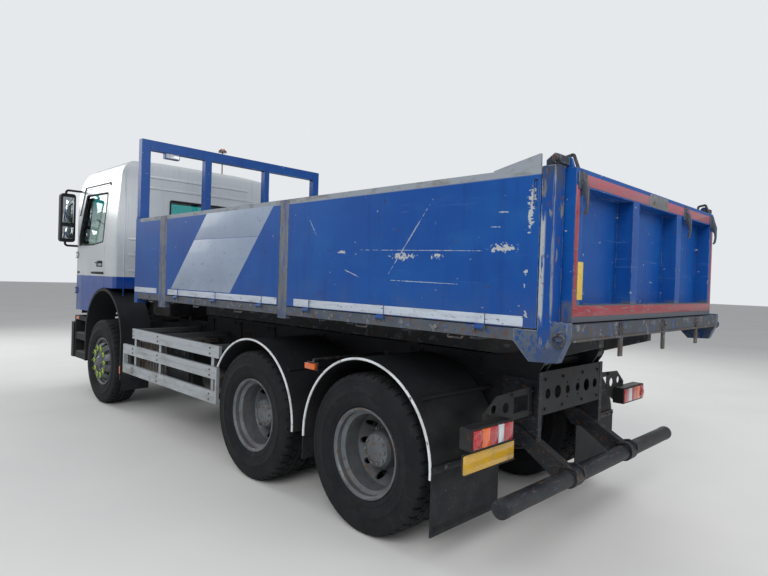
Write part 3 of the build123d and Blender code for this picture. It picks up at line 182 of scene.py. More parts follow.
def cutCorners(low, high, corner):
    # the eight corners of a rectangle whose own corners are cut off
    (x0, z0), (x1, z1) = low, high
    return [
        (x0 + corner, z0), (x1 - corner, z0), (x1, z0 + corner), (x1, z1 - corner),
        (x1 - corner, z1), (x0 + corner, z1), (x0, z1 - corner), (x0, z0 + corner),
    ]


def bow(start, end, push):
    # the four corners of a U-shaped bar
    start, end, push = Vector(start), Vector(end), Vector(push)
    return [start, start + push, end + push, end]


def moved(places, by):
    return [tuple(part + shift for part, shift in zip(place, by)) for place in places]


def turned(name, profile, steps, place=(0, 0, 0), turn=(0, "Z")):
    # a closed outline of (radius, distance along Y), spun about the Y axis, then turned and moved
    deselectAll()
    bpy.ops.mesh.primitive_circle_add(vertices=len(profile), radius=1)
    piece = bpy.context.object
    piece.name = name
    for vertex, (radius, along) in zip(piece.data.vertices, profile):
        vertex.co = (radius, along, 0)
    bpy.ops.object.mode_set(mode="EDIT")
    bpy.ops.mesh.select_all(action="SELECT")
    bpy.ops.mesh.spin(steps=steps, angle=math.tau, center=(0, 0, 0), axis=(0, 1, 0))
    bpy.ops.object.mode_set(mode="OBJECT")
    mendNormals(piece)
    degrees, axis = turn
    piece.data.transform(Matrix.Translation(place) @ Matrix.Rotation(math.radians(degrees), 4, axis))
    return piece


def looking(way, least=0.99):
    # picks the faces that look along way
    return lambda centre, normal: normal.dot(Vector(way)) > least


def shapeFaces(piece, chosen, inset, depth):
    # the faces that chosen() picks by place and normal are inset together and pushed in or out
    activate(piece)
    bpy.ops.object.mode_set(mode="EDIT")
    bpy.ops.mesh.select_mode(type="FACE")
    bpy.ops.mesh.select_all(action="DESELECT")
    bpy.ops.object.mode_set(mode="OBJECT")
    for face in piece.data.polygons:
        face.select = chosen(face.center, face.normal)
    bpy.ops.object.mode_set(mode="EDIT")
    bpy.ops.mesh.inset(thickness=inset, depth=depth, use_even_offset=True)
    bpy.ops.object.mode_set(mode="OBJECT")
    return piece


def copyOf(piece, name, move=(0, 0, 0), turn=None, flipY=False):
    twin = piece.copy()
    twin.data = piece.data.copy()
    twin.name = name
    bpy.context.collection.objects.link(twin)
    flip = Matrix.Diagonal((1, -1, 1, 1)) if flipY else Matrix.Identity(4)
    twin.matrix_world = Matrix.Translation(move) @ (turn or Matrix.Identity(4)) @ flip
    settle(twin)
    return mendNormals(twin) if flipY else twin


def joinAll(name, parts):
    activate(parts[0])
    for part in parts[1:]:
        part.select_set(True)
    if len(parts) > 1:
        bpy.ops.object.join()
    whole = bpy.context.object
    whole.name = name
    return whole


def discard(*pieces):
    for piece in pieces:
        bpy.data.objects.remove(piece)


def fitPiece(name, parts, finish, body, smooth=35):
    # joins the parts, finishes the whole and lets it ride on its body
    piece = joinAll(name, parts)
    piece.location.x += rearAxleX
    settle(piece)
    bpy.ops.object.shade_smooth_by_angle(angle=math.radians(smooth))
    piece.data.materials.clear()
    piece.data.materials.append(materials[finish])
    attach(piece, body)
    return piece


def fitPair(name, parts, finish, body, smooth=35):
    # the parts as made are the left one's; body may hold {side}
    left = joinAll(name, parts)
    pair = {"left": left, "right": copyOf(left, name, flipY=True)}
    for side, piece in pair.items():
        fitPiece(f"{name}_{side}", [piece], finish, body.format(side=side), smooth)
    return pair


def colourOf(code):
    parts = [int(code[i : i + 2], 16) / 255 for i in (1, 3, 5)]
    return tuple(p / 12.92 if p <= 0.04045 else ((p + 0.055) / 1.055) ** 2.4 for p in parts) + (1.0,)


def scaleFor(size):
    # a Mapping's scale for a pattern of this size in metres, one number or one for each axis
    return [1 / part for part in (size if isinstance(size, tuple) else (size,) * 3)]


def addNode(tree, kind, settings=None, links=None):
    node = tree.nodes.new(kind)
    for name, value in (settings or {}).items():
        if isinstance(name, int) or name in node.inputs:
            node.inputs[name].default_value = value
        else:
            setattr(node, name, value)
    for name, source in (links or {}).items():
        tree.links.new(source, node.inputs[name])
    return node


def markMask(tree, place, marks):
    # spindle-shaped marks on a side, each (x, z) to (x, z) with its half width, fading outwards
    whole = None
    gone, full = maskSettings["markFade"]
    for x0, z0, x1, z1, wide in marks:
        settings = {
            "vector_type": "TEXTURE",
            "Location": ((x0 + x1) / 2 + rearAxleX, 0, (z0 + z1) / 2),
            "Rotation": (0, -math.atan2(z1 - z0, x1 - x0), 0),
            "Scale": (math.hypot(x1 - x0, z1 - z0) / 2, maskSettings["markReach"], wide),
        }
        spread = addNode(tree, "ShaderNodeMapping", settings, {0: place})
        away = addNode(tree, "ShaderNodeVectorMath", {"operation": "LENGTH"}, {0: spread.outputs[0]})
        span = {"From Min": gone, "From Max": full}
        spot = addNode(tree, "ShaderNodeMapRange", span, {"Value": away.outputs["Value"]})
        if whole:
            both = {0: whole.outputs[0], 1: spot.outputs[0]}
            spot = addNode(tree, "ShaderNodeMath", {"operation": "MAXIMUM"}, both)
        whole = spot
    return whole.outputs[0]


def layerMask(tree, place, axes, layer):
    # where a layer shows: a noise of the given size, inside its zone, and along edges if it says so
    masks = []
    if "size" in layer:
        given = {"Scale": scaleFor(layer["size"]), "Location": layer.get("shift", (0, 0, 0))}
        spread = addNode(tree, "ShaderNodeMapping", given, {0: place})
        given = {"Scale": 1.0, "Detail": layer.get("detail", 3.0), "Roughness": maskSettings["noiseRough"]}
        noise = addNode(tree, "ShaderNodeTexNoise", given, {0: spread.outputs[0]})
        low, high = layer["between"]
        value = noise.outputs[0]
        if "marks" in layer:
            lift = {"operation": "MULTIPLY_ADD", 1: 0.5, 2: -0.5}
            lifted = addNode(tree, "ShaderNodeMath", lift, {0: markMask(tree, place, layer["marks"])})
            both = addNode(tree, "ShaderNodeMath", {"operation": "ADD"}, {0: value, 1: lifted.outputs[0]})
            value = both.outputs[0]
        masks.append(addNode(tree, "ShaderNodeMapRange", {"From Min": low, "From Max": high}, {"Value": value}))
    for axis, low, high, soft in layer.get("zone", ()):
        for limit, ends in ((low, (0, 1)), (high, (1, 0))):
            if limit is None:
                continue
            limit += rearAxleX if axis == 0 else 0
            span = {"From Min": limit - soft, "From Max": limit + soft, "To Min": ends[0], "To Max": ends[1]}
            masks.append(addNode(tree, "ShaderNodeMapRange", span, {"Value": axes[axis]}))
    if "inside" in layer:
        # faces that look towards a point within the shell
        centre = (layer["inside"][0] + rearAxleX, *layer["inside"][1:])
        reach = addNode(tree, "ShaderNodeVectorMath", {"operation": "SUBTRACT", 0: centre}, {1: place})
        normal = addNode(tree, "ShaderNodeTexCoord").outputs["Normal"]
        dot = {"operation": "DOT_PRODUCT"}
        toward = addNode(tree, "ShaderNodeVectorMath", dot, {0: normal, 1: reach.outputs[0]}).outputs["Value"]
        low, high = maskSettings["towards"]
        given = {"From Min": low, "From Max": high}
        masks.append(addNode(tree, "ShaderNodeMapRange", given, {"Value": toward}))
    if "edge" in layer:
        given = {"samples": maskSettings["edgeSamples"], "Radius": layer["edge"]}
        rounded = addNode(tree, "ShaderNodeBevel", given)
        true = addNode(tree, "ShaderNodeNewGeometry").outputs["Normal"]
        dot = {"operation": "DOT_PRODUCT"}
        along = addNode(tree, "ShaderNodeVectorMath", dot, {0: rounded.outputs[0], 1: true}).outputs["Value"]
        bare, worn = maskSettings["edgeTurn"]
        given = {"From Min": bare, "From Max": worn}
        masks.append(addNode(tree, "ShaderNodeMapRange", given, {"Value": along}))
    if not masks:
        return None
    whole = masks[0].outputs[0]
    for mask in masks[1:]:
        both = addNode(tree, "ShaderNodeMath", {"operation": "MULTIPLY"}, {0: whole, 1: mask.outputs[0]})
        whole = both.outputs[0]
    given = {"operation": "MULTIPLY", "use_clamp": True, 1: layer.get("amount", 1.0)}
    return addNode(tree, "ShaderNodeMath", given, {0: whole}).outputs[0]


def weathered(name, look):
    made = bpy.data.materials.new(name)
    made.use_nodes = True
    tree = made.node_tree
    shader = tree.nodes["Principled BSDF"]
    for socket, value in look.get("shader", {}).items():
        shader.inputs[socket].default_value = value
    place = addNode(tree, "ShaderNodeTexCoord").outputs["Object"]
    axes = addNode(tree, "ShaderNodeSeparateXYZ", links={0: place}).outputs
    colour, rough, metal, height = None, None, None, None
    roughLinked = any("rough" in layer for layer in look["layers"])
    metalLinked = any("metal" in layer for layer in look["layers"])
    baseRough = shader.inputs["Roughness"].default_value
    baseMetal = shader.inputs["Metallic"].default_value
    for layer in look["layers"]:
        mask = layerMask(tree, place, axes, layer)
        given = {"data_type": "RGBA", 6: colourOf(look["base"]), 7: colourOf(layer["colour"])}
        mix = addNode(tree, "ShaderNodeMix", given, {0: mask, **({6: colour} if colour else {})})
        colour = mix.outputs[2]
        if roughLinked:
            given = {2: baseRough, 3: layer.get("rough", baseRough)}
            if "rough" in layer or rough is None:
                step = addNode(tree, "ShaderNodeMix", given, {0: mask, **({2: rough} if rough else {})})
                rough = step.outputs[0]
        if metalLinked and ("metal" in layer or metal is None):
            given = {2: baseMetal, 3: layer.get("metal", baseMetal)}
            step = addNode(tree, "ShaderNodeMix", given, {0: mask, **({2: metal} if metal else {})})
            metal = step.outputs[0]
        if "depth" in layer:
            given = {"operation": "MULTIPLY_ADD", 1: layer["depth"], 2: 0.0}
            step = addNode(tree, "ShaderNodeMath", given, {0: mask, **({2: height} if height else {})})
            height = step.outputs[0]
    if "grain" in look:
        size, depth = look["grain"]
        spread = addNode(tree, "ShaderNodeMapping", {"Scale": scaleFor(size)}, {0: place})
        fine = addNode(tree, "ShaderNodeTexNoise", {"Scale": 1.0, "Detail": 2.0}, {0: spread.outputs[0]})
        given = {"operation": "MULTIPLY_ADD", 1: depth, 2: 0.0}
        step = addNode(tree, "ShaderNodeMath", given, {0: fine.outputs[0], **({2: height} if height else {})})
        height = step.outputs[0]
    tree.links.new(colour, shader.inputs["Base Color"])
    if rough:
        tree.links.new(rough, shader.inputs["Roughness"])
    if metal:
        tree.links.new(metal, shader.inputs["Metallic"])
    if height:
        bump = addNode(tree, "ShaderNodeBump", {"Strength": 1.0, "Distance": 1.0}, {"Height": height})
        tree.links.new(bump.outputs[0], shader.inputs["Normal"])
    return made


def patches(size, between, colour, **more):
    # a layer of patches: their size, the noise values between which they fade in, their colour
    return {"size": size, "between": between, "colour": colour, **more}


print("camera and light")
# place in metres, angles in degrees and lens in millimetres, fitted to the photograph
cameraSettings = {
    "place": (-2.7127, 3.794, 1.678),
    "yaw": -45.1824,
    "pitch": -0.7599,
    "roll": 1.8616,
    "lens": 26.686,
    "clip": (0.1, 500),
}
yaw, pitch, roll = (math.radians(cameraSettings[key]) for key in ("yaw", "pitch", "roll"))
ahead = Vector((math.cos(pitch) * math.cos(yaw), math.cos(pitch) * math.sin(yaw), math.sin(pitch)))
level = ahead.cross(Vector((0, 0, 1))).normalized()
upward = level.cross(ahead)
across = math.cos(roll) * level + math.sin(roll) * upward
above = -math.sin(roll) * level + math.cos(roll) * upward
facing = Matrix((across, above, -ahead)).transposed().to_4x4()
cameraData = bpy.data.cameras.new("camera")
cameraData.lens = cameraSettings["lens"]
cameraData.clip_start, cameraData.clip_end = cameraSettings["clip"]
camera = bpy.data.objects.new("camera", cameraData)
bpy.context.scene.collection.objects.link(camera)
camera.matrix_world = Matrix.Translation(Vector(cameraSettings["place"]) + Vector((rearAxleX, 0, 0))) @ facing
bpy.context.scene.camera = camera
bpy.context.scene.view_settings.view_transform = "Standard"

# each lamp: place, what it looks at, size in metres, power in watts
lampSettings = {
    "key": ((-4.5, 9.0, 7.5), (2.0, 0.0, 1.2), 6.0, 700),
    "rear": ((-10.0, -2.0, 6.0), (0.0, 0.0, 1.3), 5.0, 400),
    "far": ((5.0, -9.0, 8.0), (2.5, 0.0, 1.5), 6.0, 440),
    "front": ((13.0, 3.0, 6.0), (4.5, 0.0, 1.5), 5.0, 340),
}
for name, (place, target, size, power) in lampSettings.items():
    lamp = bpy.data.objects.new("lamp_" + name, bpy.data.lights.new("lamp_" + name, "AREA"))
    bpy.context.scene.collection.objects.link(lamp)
    lamp.data.size = size
    lamp.data.energy = power
    aim = Vector(place) - Vector(target)
    turn = aim.to_track_quat("Z", "Y").to_matrix().to_4x4()
    lamp.matrix_world = Matrix.Translation(Vector(place) + Vector((rearAxleX, 0, 0))) @ turn

# soft even light all round; the camera and the panes see a pale sky instead
skySettings = {"seen": "#E6E9EC", "light": "#F2F5FA", "strength": 0.5}
world = bpy.data.worlds.new("sky")
bpy.context.scene.world = world
world.use_nodes = True
sky = world.node_tree
glow = addNode(sky, "ShaderNodeBackground", {0: colourOf(skySettings["light"]), 1: skySettings["strength"]})
seen = addNode(sky, "ShaderNodeBackground", {0: colourOf(skySettings["seen"]), 1: 1.0})
rays = addNode(sky, "ShaderNodeLightPath")
seenBy = {0: rays.outputs["Is Camera Ray"], 1: rays.outputs["Is Transmission Ray"]}
direct = addNode(sky, "ShaderNodeMath", {"operation": "ADD"}, seenBy)
mixed = {0: direct.outputs[0], 1: glow.outputs[0], 2: seen.outputs[0]}
either = addNode(sky, "ShaderNodeMixShader", links=mixed)
sky.links.new(either.outputs[0], sky.nodes["World Output"].inputs[0])

floorLook = {  # pale sealed concrete, brushed smooth: matte, faintly clouded
    "base": "#DDDDDA",
    "shader": {"Roughness": 0.8},
    "layers": [patches(2.0, (0.4, 0.7), "#D3D4D2", amount=0.6)],
}
deselectAll()
bpy.ops.mesh.primitive_plane_add(size=160, location=(0, 0, -0.0005))
floor = bpy.context.object
floor.name = "floor"
floor.data.materials.append(weathered("paleConcrete", floorLook))

print("materials")
# road dirt that many finishes share: grey-brown, thrown up from the tyres, thickest low down
roadDirt = patches((0.22, 0.22, 0.16), (0.35, 0.7), "#58534A", rough=0.9)
looks = {
    # alkyd enamel sprayed on sheet steel: royal blue, sun-faded, scratched by loads, chipped to primer
    "blueEnamel": {
        "base": "#00428C",
        "shader": {"Roughness": 0.42, "Coat Weight": 0.06, "Coat Roughness": 0.25, "Specular IOR Level": 0.3},
        "layers": [
            patches((0.9, 0.9, 0.5), (0.42, 0.72), "#04509A", amount=0.6),
            patches((0.06, 0.06, 0.7), (0.52, 0.8), "#003070", amount=0.5),
            patches((0.3, 0.3, 0.2), (0.5, 0.75), "#165A96", amount=0.35, rough=0.6),
            # a few long rubs from loads and branches, lying along the side
            patches((0.6, 0.6, 0.012), (0.66, 0.72), "#5C78A6", amount=0.55, rough=0.6,
                    zone=[(2, 1.6, 2.2, 0.1)]),
            # long scrapes and chips down the left rear side, and the worn edge at the tail
            {
                "marks": [
                    (0.013, 1.873, -0.955, 1.854, 0.0025),
                    (-0.233, 1.738, -0.534, 2.122, 0.004),
                    (-0.213, 1.681, -0.797, 1.670, 0.0025),
                    (0.625, 2.137, 0.501, 1.969, 0.003),
                    (0.192, 1.740, 0.051, 1.695, 0.004),
                    (-0.965, 1.981, -1.040, 1.978, 0.004),
                    (-1.025, 2.057, -1.092, 2.053, 0.004),
                ],
                "size": 0.03,
                "between": (0.26, 0.34),
                "detail": 6.0,
                "colour": "#9FA8B4",
                "amount": 0.8,
                "rough": 0.6,
                "zone": [(1, 0.0, None, 0.01)],
            },
            {
                "marks": [
                    (-0.190, 1.832, -0.490, 1.832, 0.034),
                    (-0.545, 1.829, -0.670, 1.829, 0.028),
                    (-0.930, 1.866, -1.175, 1.868, 0.034),
                    (0.170, 1.862, 0.290, 1.862, 0.016),
                    (-1.200, 1.900, -1.215, 2.240, 0.030),
                    (-1.192, 1.770, -1.190, 1.718, 0.016),
                    (-1.183, 1.690, -1.183, 1.656, 0.014),
                    (-1.195, 1.556, -1.195, 1.500, 0.018),
                ],
                "size": (0.022, 0.022, 0.016),
                "between": (0.42, 0.46),
                "detail": 6.0,
                "colour": "#A7ABAC",
                "rough": 0.7,
                "depth": -0.0003,
                "zone": [(1, 0.0, None, 0.01)],
            },
            patches((0.05, 0.05, 0.03), (0.68, 0.71), "#A5A9A8", amount=0.9, rough=0.7, depth=-0.0003,
                    detail=5.0),
            patches((0.035, 0.035, 0.05), (0.70, 0.74), "#4A2F22", rough=0.9, shift=(3, 1, 7)),
            patches(0.05, (0.4, 0.55), "#6E7276", edge=0.007, rough=0.55),
            # caps along the top of the sides, worn grey by loading
            {"colour": "#8D9399", "zone": [(2, 2.232, None, 0.004), (0, -1.27, 3.62, 0.004)], "rough": 0.6,
             "amount": 0.94},
            patches((0.12, 0.12, 0.05), (0.52, 0.66), "#6B6660", amount=0.6,
                    zone=[(2, 2.236, None, 0.004), (0, -1.27, 3.62, 0.004)], rough=0.8),
            # the gate's lower frame, scoured plain grey
            patches((0.09, 0.09, 0.22), (0.22, 0.4), "#565A5F",
                    zone=[(0, None, -1.335, 0.004), (2, None, 1.60, 0.012)], rough=0.8, amount=0.95),
            {**roadDirt, "zone": [(2, None, 1.5, 0.2)], "amount": 0.4},
        ],
        "grain": (0.006, 0.00004),
    },
    # corner posts keep their enamel, the middle ones are rubbed to bare and rusty steel
    "postPaint": {
        "base": "#6A6F74",
        "shader": {"Roughness": 0.5, "Specular IOR Level": 0.3},
        "layers": [
            patches((0.1, 0.1, 0.3), (0.4, 0.65), "#50575F", amount=0.8),
            patches((0.05, 0.05, 0.25), (0.5, 0.6), "#33508A", amount=0.7),
            patches((0.04, 0.04, 0.12), (0.55, 0.7), "#6E4A33", amount=0.8, rough=0.9),
            {"colour": "#003F88", "zone": [(0, None, -1.1, 0.02)], "amount": 0.985, "rough": 0.42},
            patches((0.05, 0.05, 0.16), (0.58, 0.62), "#6C7076", zone=[(0, None, -1.1, 0.02)], rough=0.6,
                    depth=-0.0004),
            # worn patch down the post's front edge, the streak at its rear and its grey head
            patches((0.02, 0.02, 0.12), (0.42, 0.5), "#9DA3A8",
                    zone=[(0, -1.290, -1.1, 0.005), (2, 1.50, 2.02, 0.03)], rough=0.6, depth=-0.0003),
            patches((0.015, 0.015, 0.3), (0.45, 0.55), "#7C838B",
                    zone=[(0, None, -1.326, 0.003), (1, 1.236, None, 0.003), (2, 1.55, None, 0.05)]),
            patches((0.03, 0.03, 0.12), (0.35, 0.55), "#39424F",
                    zone=[(0, None, -1.1, 0.01), (2, 2.16, None, 0.05)], rough=0.7),
            {"colour": "#282C33", "zone": [(0, None, -1.1, 0.01), (2, 2.268, None, 0.006)], "rough": 0.6,
             "amount": 0.9},
            # the plates at its foot, grey either side of a plain blue band
            patches(0.022, (0.44, 0.47), "#4E5866", detail=5.0,
                    zone=[(0, -1.268, -1.1, 0.002), (2, None, 1.5, 0.01)]),
            patches(0.022, (0.42, 0.45), "#4E5866", detail=5.0,
                    zone=[(0, None, -1.335, 0.002), (2, None, 1.5, 0.01)]),
            patches((0.025, 0.025, 0.06), (0.62, 0.67), "#55341F", zone=[(0, None, -1.1, 0.02)], rough=0.9),
            patches((0.04, 0.04, 0.06), (0.38, 0.5), "#8B8F93", edge=0.009, rough=0.5),
            patches((0.2, 0.2, 0.1), (0.4, 0.6), "#3A4760", zone=[(2, None, 1.44, 0.08)]),
        ],
        "grain": (0.012, 0.0002),
    },
    # bed steelwork: grey-blue raves and sill, dark bearers, and a scoured, rusting floor plate
    "bedSteel": {
        "base": "#2A3038",
        "shader": {"Roughness": 0.65},
        "layers": [
            {"colour": "#4A5059", "zone": [(2, 1.385, None, 0.01)], "amount": 0.9, "rough": 0.55},
            {"colour": "#33383F", "zone": [(2, 1.385, None, 0.01), (0, None, -1.4, 0.004)], "amount": 0.9},
            patches((0.05, 0.09, 0.04), (0.58, 0.63), "#1E3F7C", zone=[(2, 1.385, None, 0.01)]),
            {"colour": "#4A4039", "zone": [(0, None, -1.4, 0.004), (2, None, 1.42, 0.003)], "amount": 0.8,
             "rough": 0.8},
            patches(0.12, (0.42, 0.62), "#3C444F", amount=0.8),
            patches(0.05, (0.58, 0.65), "#767D84", amount=0.6, rough=0.45),
            patches(0.06, (0.58, 0.68), "#5B3B29", amount=0.8, rough=0.9),
            {"colour": "#6F6A64", "zone": [(2, 1.484, None, 0.003), (0, -1.27, None, 0.01)], "rough": 0.5,
             "metal": 0.5},
            patches((0.6, 0.02, 0.1), (0.5, 0.58), "#9A9A98",
                    zone=[(2, 1.484, None, 0.003), (0, -1.27, None, 0.01)], metal=0.8),
            patches(0.3, (0.5, 0.66), "#5E402E", zone=[(2, 1.484, None, 0.003), (0, -1.27, None, 0.01)],
                    rough=0.9, metal=0.0),
            {**roadDirt, "zone": [(2, None, 1.4, 0.06)], "amount": 0.6},
        ],
        "grain": (0.008, 0.0002),
    },
    # chassis enamel, near black, dulled by road film, with dust on every ledge and rust at the edges
    "chassisEnamel": {
        "base": "#191B1F",
        "shader": {"Roughness": 0.55, "Specular IOR Level": 0.28},
        "layers": [
            patches((0.3, 0.3, 0.2), (0.4, 0.7), "#25282D", amount=0.8),
            patches(0.05, (0.6, 0.68), "#3F2D22", amount=0.8, rough=0.9),
            patches(0.04, (0.45, 0.6), "#45423E", edge=0.006, rough=0.7),
            {**roadDirt, "zone": [(2, None, 0.9, 0.4)], "amount": 0.25},
        ],
        "grain": (0.007, 0.0003),
    },
    # round steel bar, scraped bright and rusty at its ends
    "underrunSteel": {
        "base": "#1B2028",
        "shader": {"Roughness": 0.5, "Specular IOR Level": 0.28},
        "layers": [
            patches((0.1, 0.05, 0.1), (0.45, 0.6), "#20262E", amount=0.8),
            patches((0.06, 0.16, 0.02), (0.58, 0.66), "#464C55", amount=0.6, rough=0.4),
            patches((0.03, 0.05, 0.03), (0.6, 0.68), "#5E3C28", rough=0.9),
            {**roadDirt, "amount": 0.25},
        ],
        "grain": (0.01, 0.0003),
    },
    # injection-moulded polypropylene, black greyed by sun, fine leather-like grain, dusty low down
    "blackPolypropylene": {
        "base": "#15171A",
        "shader": {"Roughness": 0.6, "Specular IOR Level": 0.28},
        "layers": [
            patches(0.35, (0.4, 0.7), "#212428", amount=0.7),
            patches(0.06, (0.45, 0.65), "#414447", edge=0.008, amount=0.5),
            patches((0.2, 0.02, 0.02), (0.66, 0.7), "#4E5154", amount=0.5),
            {**roadDirt, "zone": [(2, None, 0.75, 0.5)], "amount": 0.22},
        ],
        "grain": (0.0022, 0.00012),
    },
    # grey cast iron with oil film and road dust
    "castIron": {
        "base": "#4A4B4C",
        "shader": {"Roughness": 0.7, "Metallic": 0.2},
        "layers": [
            patches(0.12, (0.45, 0.65), "#2B2723", amount=0.8, rough=0.4),
            patches(0.05, (0.55, 0.65), "#64503E", rough=0.9),
            {**roadDirt, "amount": 0.5},
        ],
        "grain": (0.004, 0.0006),
    },
    # clear-anodised aluminium extrusion, lengthwise drawing lines, dusty and rubbed
    "anodisedAluminium": {
        "base": "#B6BCC1",
        "shader": {"Roughness": 0.42, "Metallic": 0.55},
        "layers": [
            patches((1.2, 0.05, 0.004), (0.35, 0.7), "#A3AAB0", amount=0.5),
            patches((0.3, 0.3, 0.08), (0.5, 0.7), "#8C8B86", amount=0.6, metal=0.1, rough=0.7),
            patches((0.08, 0.08, 0.01), (0.66, 0.7), "#7E8286", amount=0.5),
            {"colour": "#4A4D50", "zone": [(1, -1.204, 1.204, 0.001)], "metal": 0.0, "rough": 0.6},
            {**roadDirt, "zone": [(2, None, 0.75, 0.25)], "amount": 0.5, "metal": 0.0},
        ],
        "grain": ((0.5, 0.004, 0.002), 0.00003),
    },
    # brushed sheet aluminium of the fuel tank
    "brushedAluminium": {
        "base": "#C2C5C7",
        "shader": {"Roughness": 0.35, "Metallic": 0.9},
        "layers": [
            patches((0.5, 0.01, 0.006), (0.3, 0.7), "#A5A9AC", amount=0.8),
            patches((0.2, 0.2, 0.1), (0.5, 0.68), "#7F7C75", metal=0.2, rough=0.7),
            {**roadDirt, "zone": [(2, None, 0.7, 0.2)], "amount": 0.6, "metal": 0.0},
        ],
        "grain": ((0.4, 0.004, 0.004), 0.00004),
    },
    # aluminised steel of the silencer box, straw and blue from heat, with rust at its seams
    "aluminisedSteel": {
        "base": "#8F9193",
        "shader": {"Roughness": 0.45, "Metallic": 0.7},
        "layers": [
            patches(0.15, (0.4, 0.7), "#8A7A63", amount=0.7),
            patches((0.06, 0.06, 0.1), (0.52, 0.64), "#5F4331", metal=0.1, rough=0.9),
            patches(0.03, (0.4, 0.55), "#4B3426", edge=0.006, metal=0.0),
            {**roadDirt, "amount": 0.5, "metal": 0.0},
        ],
        "grain": (0.006, 0.0002),
    },
    # satin black enamel on pressed tanks
    "tankEnamel": {
        "base": "#202226",
        "shader": {"Roughness": 0.4, "Specular IOR Level": 0.28},
        "layers": [
            patches(0.2, (0.45, 0.7), "#33353A", amount=0.8),
            patches(0.04, (0.64, 0.7), "#5B4334", rough=0.9),
            {**roadDirt, "amount": 0.45},
        ],
        "grain": (0.004, 0.00005),
    },
    # cut rubber sheet: dull, slightly ribbed, with dried splash
    "rubberSheet": {
        "base": "#181B20",
        "shader": {"Roughness": 0.72, "Specular IOR Level": 0.28},
        "layers": [
            patches((0.3, 0.1, 0.12), (0.42, 0.7), "#24282E", amount=0.8),
            patches((0.02, 0.02, 0.03), (0.62, 0.7), "#4C4943", amount=0.6),
            {**roadDirt, "amount": 0.14},
        ],
        "grain": ((0.2, 0.2, 0.004), 0.0003),
    },
    # two-pack polyurethane enamel: white cab over a blue skirt, with washed-down road film; the white is greyed
    # a little as painted shade
    "cabEnamel": {
        "base": "#C2C8CB",
        "shader": {"Roughness": 0.28, "Coat Weight": 0.4, "Coat Roughness": 0.12},
        "layers": [
            patches((0.8, 0.8, 0.5), (0.4, 0.75), "#B3BABE", amount=0.8),
            patches((0.04, 0.04, 0.6), (0.56, 0.8), "#A2A6A7", amount=0.5, rough=0.5),
            patches(0.012, (0.7, 0.73), "#7B6A58", rough=0.8),
            {"colour": "#033E92", "zone": [(2, None, 1.616, 0.0012)]},
            patches((0.05, 0.05, 0.3), (0.55, 0.8), "#31568F", zone=[(2, None, 1.61, 0.004)], amount=0.4),
            {**roadDirt, "zone": [(2, None, 1.5, 0.4)], "amount": 0.45},
            {"inside": (5.5, 0.0, 2.2), "colour": "#3A3D40", "rough": 0.7},
        ],
        "grain": (0.004, 0.00001),
    },
    # black vinyl skin and moulded trim inside the cab: fine leather grain, dull, a little dusty
    "grainedVinyl": {
        "base": "#2B2D31",
        "shader": {"Roughness": 0.65},
        "layers": [patches(0.25, (0.4, 0.7), "#3A3C40", amount=0.8)],
        "grain": (0.0018, 0.00015),
    },
    # flat-woven polyester over foam: heather grey, threads drawn 3 mm apart so that they show
    "wovenPolyester": {
        "base": "#3C4048",
        "shader": {"Roughness": 0.9, "Sheen Weight": 0.25},
        "layers": [
            patches(0.003, (0.45, 0.6), "#565B64", amount=0.8),
            patches(0.2, (0.45, 0.7), "#2F3238", amount=0.6),
        ],
        "grain": (0.003, 0.0005),
    },
    # hard-chromed ram tubes with an oil film and grey dust
    "hardChrome": {
        "base": "#A9ADB0",
        "shader": {"Roughness": 0.22, "Metallic": 1.0},
        "layers": [
            patches((0.04, 0.04, 0.3), (0.5, 0.75), "#7A776F", rough=0.5),
            patches(0.1, (0.5, 0.7), "#5E5A52", amount=0.7, rough=0.6),
        ],
    },
    # vulcanised tyre rubber: brown-black, dusty in the tread, scuffed grey on the flanks
    "tyreRubber": {
        "base": "#101216",
        "shader": {"Roughness": 0.8, "Specular IOR Level": 0.28},
        "layers": [
            patches(0.2, (0.4, 0.7), "#1D1E21", amount=0.8),
            patches((0.05, 0.02, 0.05), (0.58, 0.72), "#2A2A29", amount=0.5),
            patches((0.12, 0.3, 0.12), (0.55, 0.75), "#3B3936", amount=0.25, rough=0.95),
        ],
        "grain": (0.004, 0.0002),
    },
    # silver stoving enamel on pressed wheels, brake dust in the dish, rust at the nuts and flanges
    "wheelEnamel": {
        "base": "#6C7278",
        "shader": {"Roughness": 0.42, "Metallic": 0.35},
        "layers": [
            patches((0.2, 0.1, 0.2), (0.38, 0.66), "#484E55", amount=0.8),
            patches(0.05, (0.56, 0.66), "#5A4333", amount=0.8, metal=0.0, rough=0.9),
            patches(0.02, (0.64, 0.69), "#3C2C22", metal=0.0, rough=0.9),
            patches(0.04, (0.42, 0.6), "#4E4640", edge=0.006, amount=0.8, metal=0.0),
            {**roadDirt, "amount": 0.45, "metal": 0.0},
        ],
        "grain": (0.006, 0.0002),
    },
    # amber polycarbonate on a dark pole
    "beaconPlastic": {
        "base": "#2A2C2F",
        "shader": {"Roughness": 0.35, "Coat Weight": 0.5},
        "layers": [
            {"colour": "#C56A12", "zone": [(2, 3.519, None, 0.001)]},
            patches(0.03, (0.5, 0.7), "#6A6258", amount=0.4, rough=0.7),
        ],
        "grain": (0.003, 0.0001),
    },
    # headlamp: clear polycarbonate over a chromed bowl
    "clearPolycarbonate": {
        "base": "#C9CED2",
        "shader": {"Roughness": 0.12, "Metallic": 0.6, "Coat Weight": 1.0},
        "layers": [
            patches((0.5, 0.03, 0.5), (0.45, 0.55), "#8C949B", amount=0.8),
            patches(0.1, (0.5, 0.7), "#9A968E", amount=0.3, rough=0.4),
        ],
        "grain": ((0.5, 0.012, 0.5), 0.0006),
    },
    # bright moulded polyethylene, sun-bleached on its faces
    "limePolyethylene": {
        "base": "#B4DC28",
        "shader": {"Roughness": 0.45},
        "layers": [patches(0.02, (0.45, 0.7), "#8FB52A", amount=0.7)],
        "grain": (0.002, 0.0001),
    },
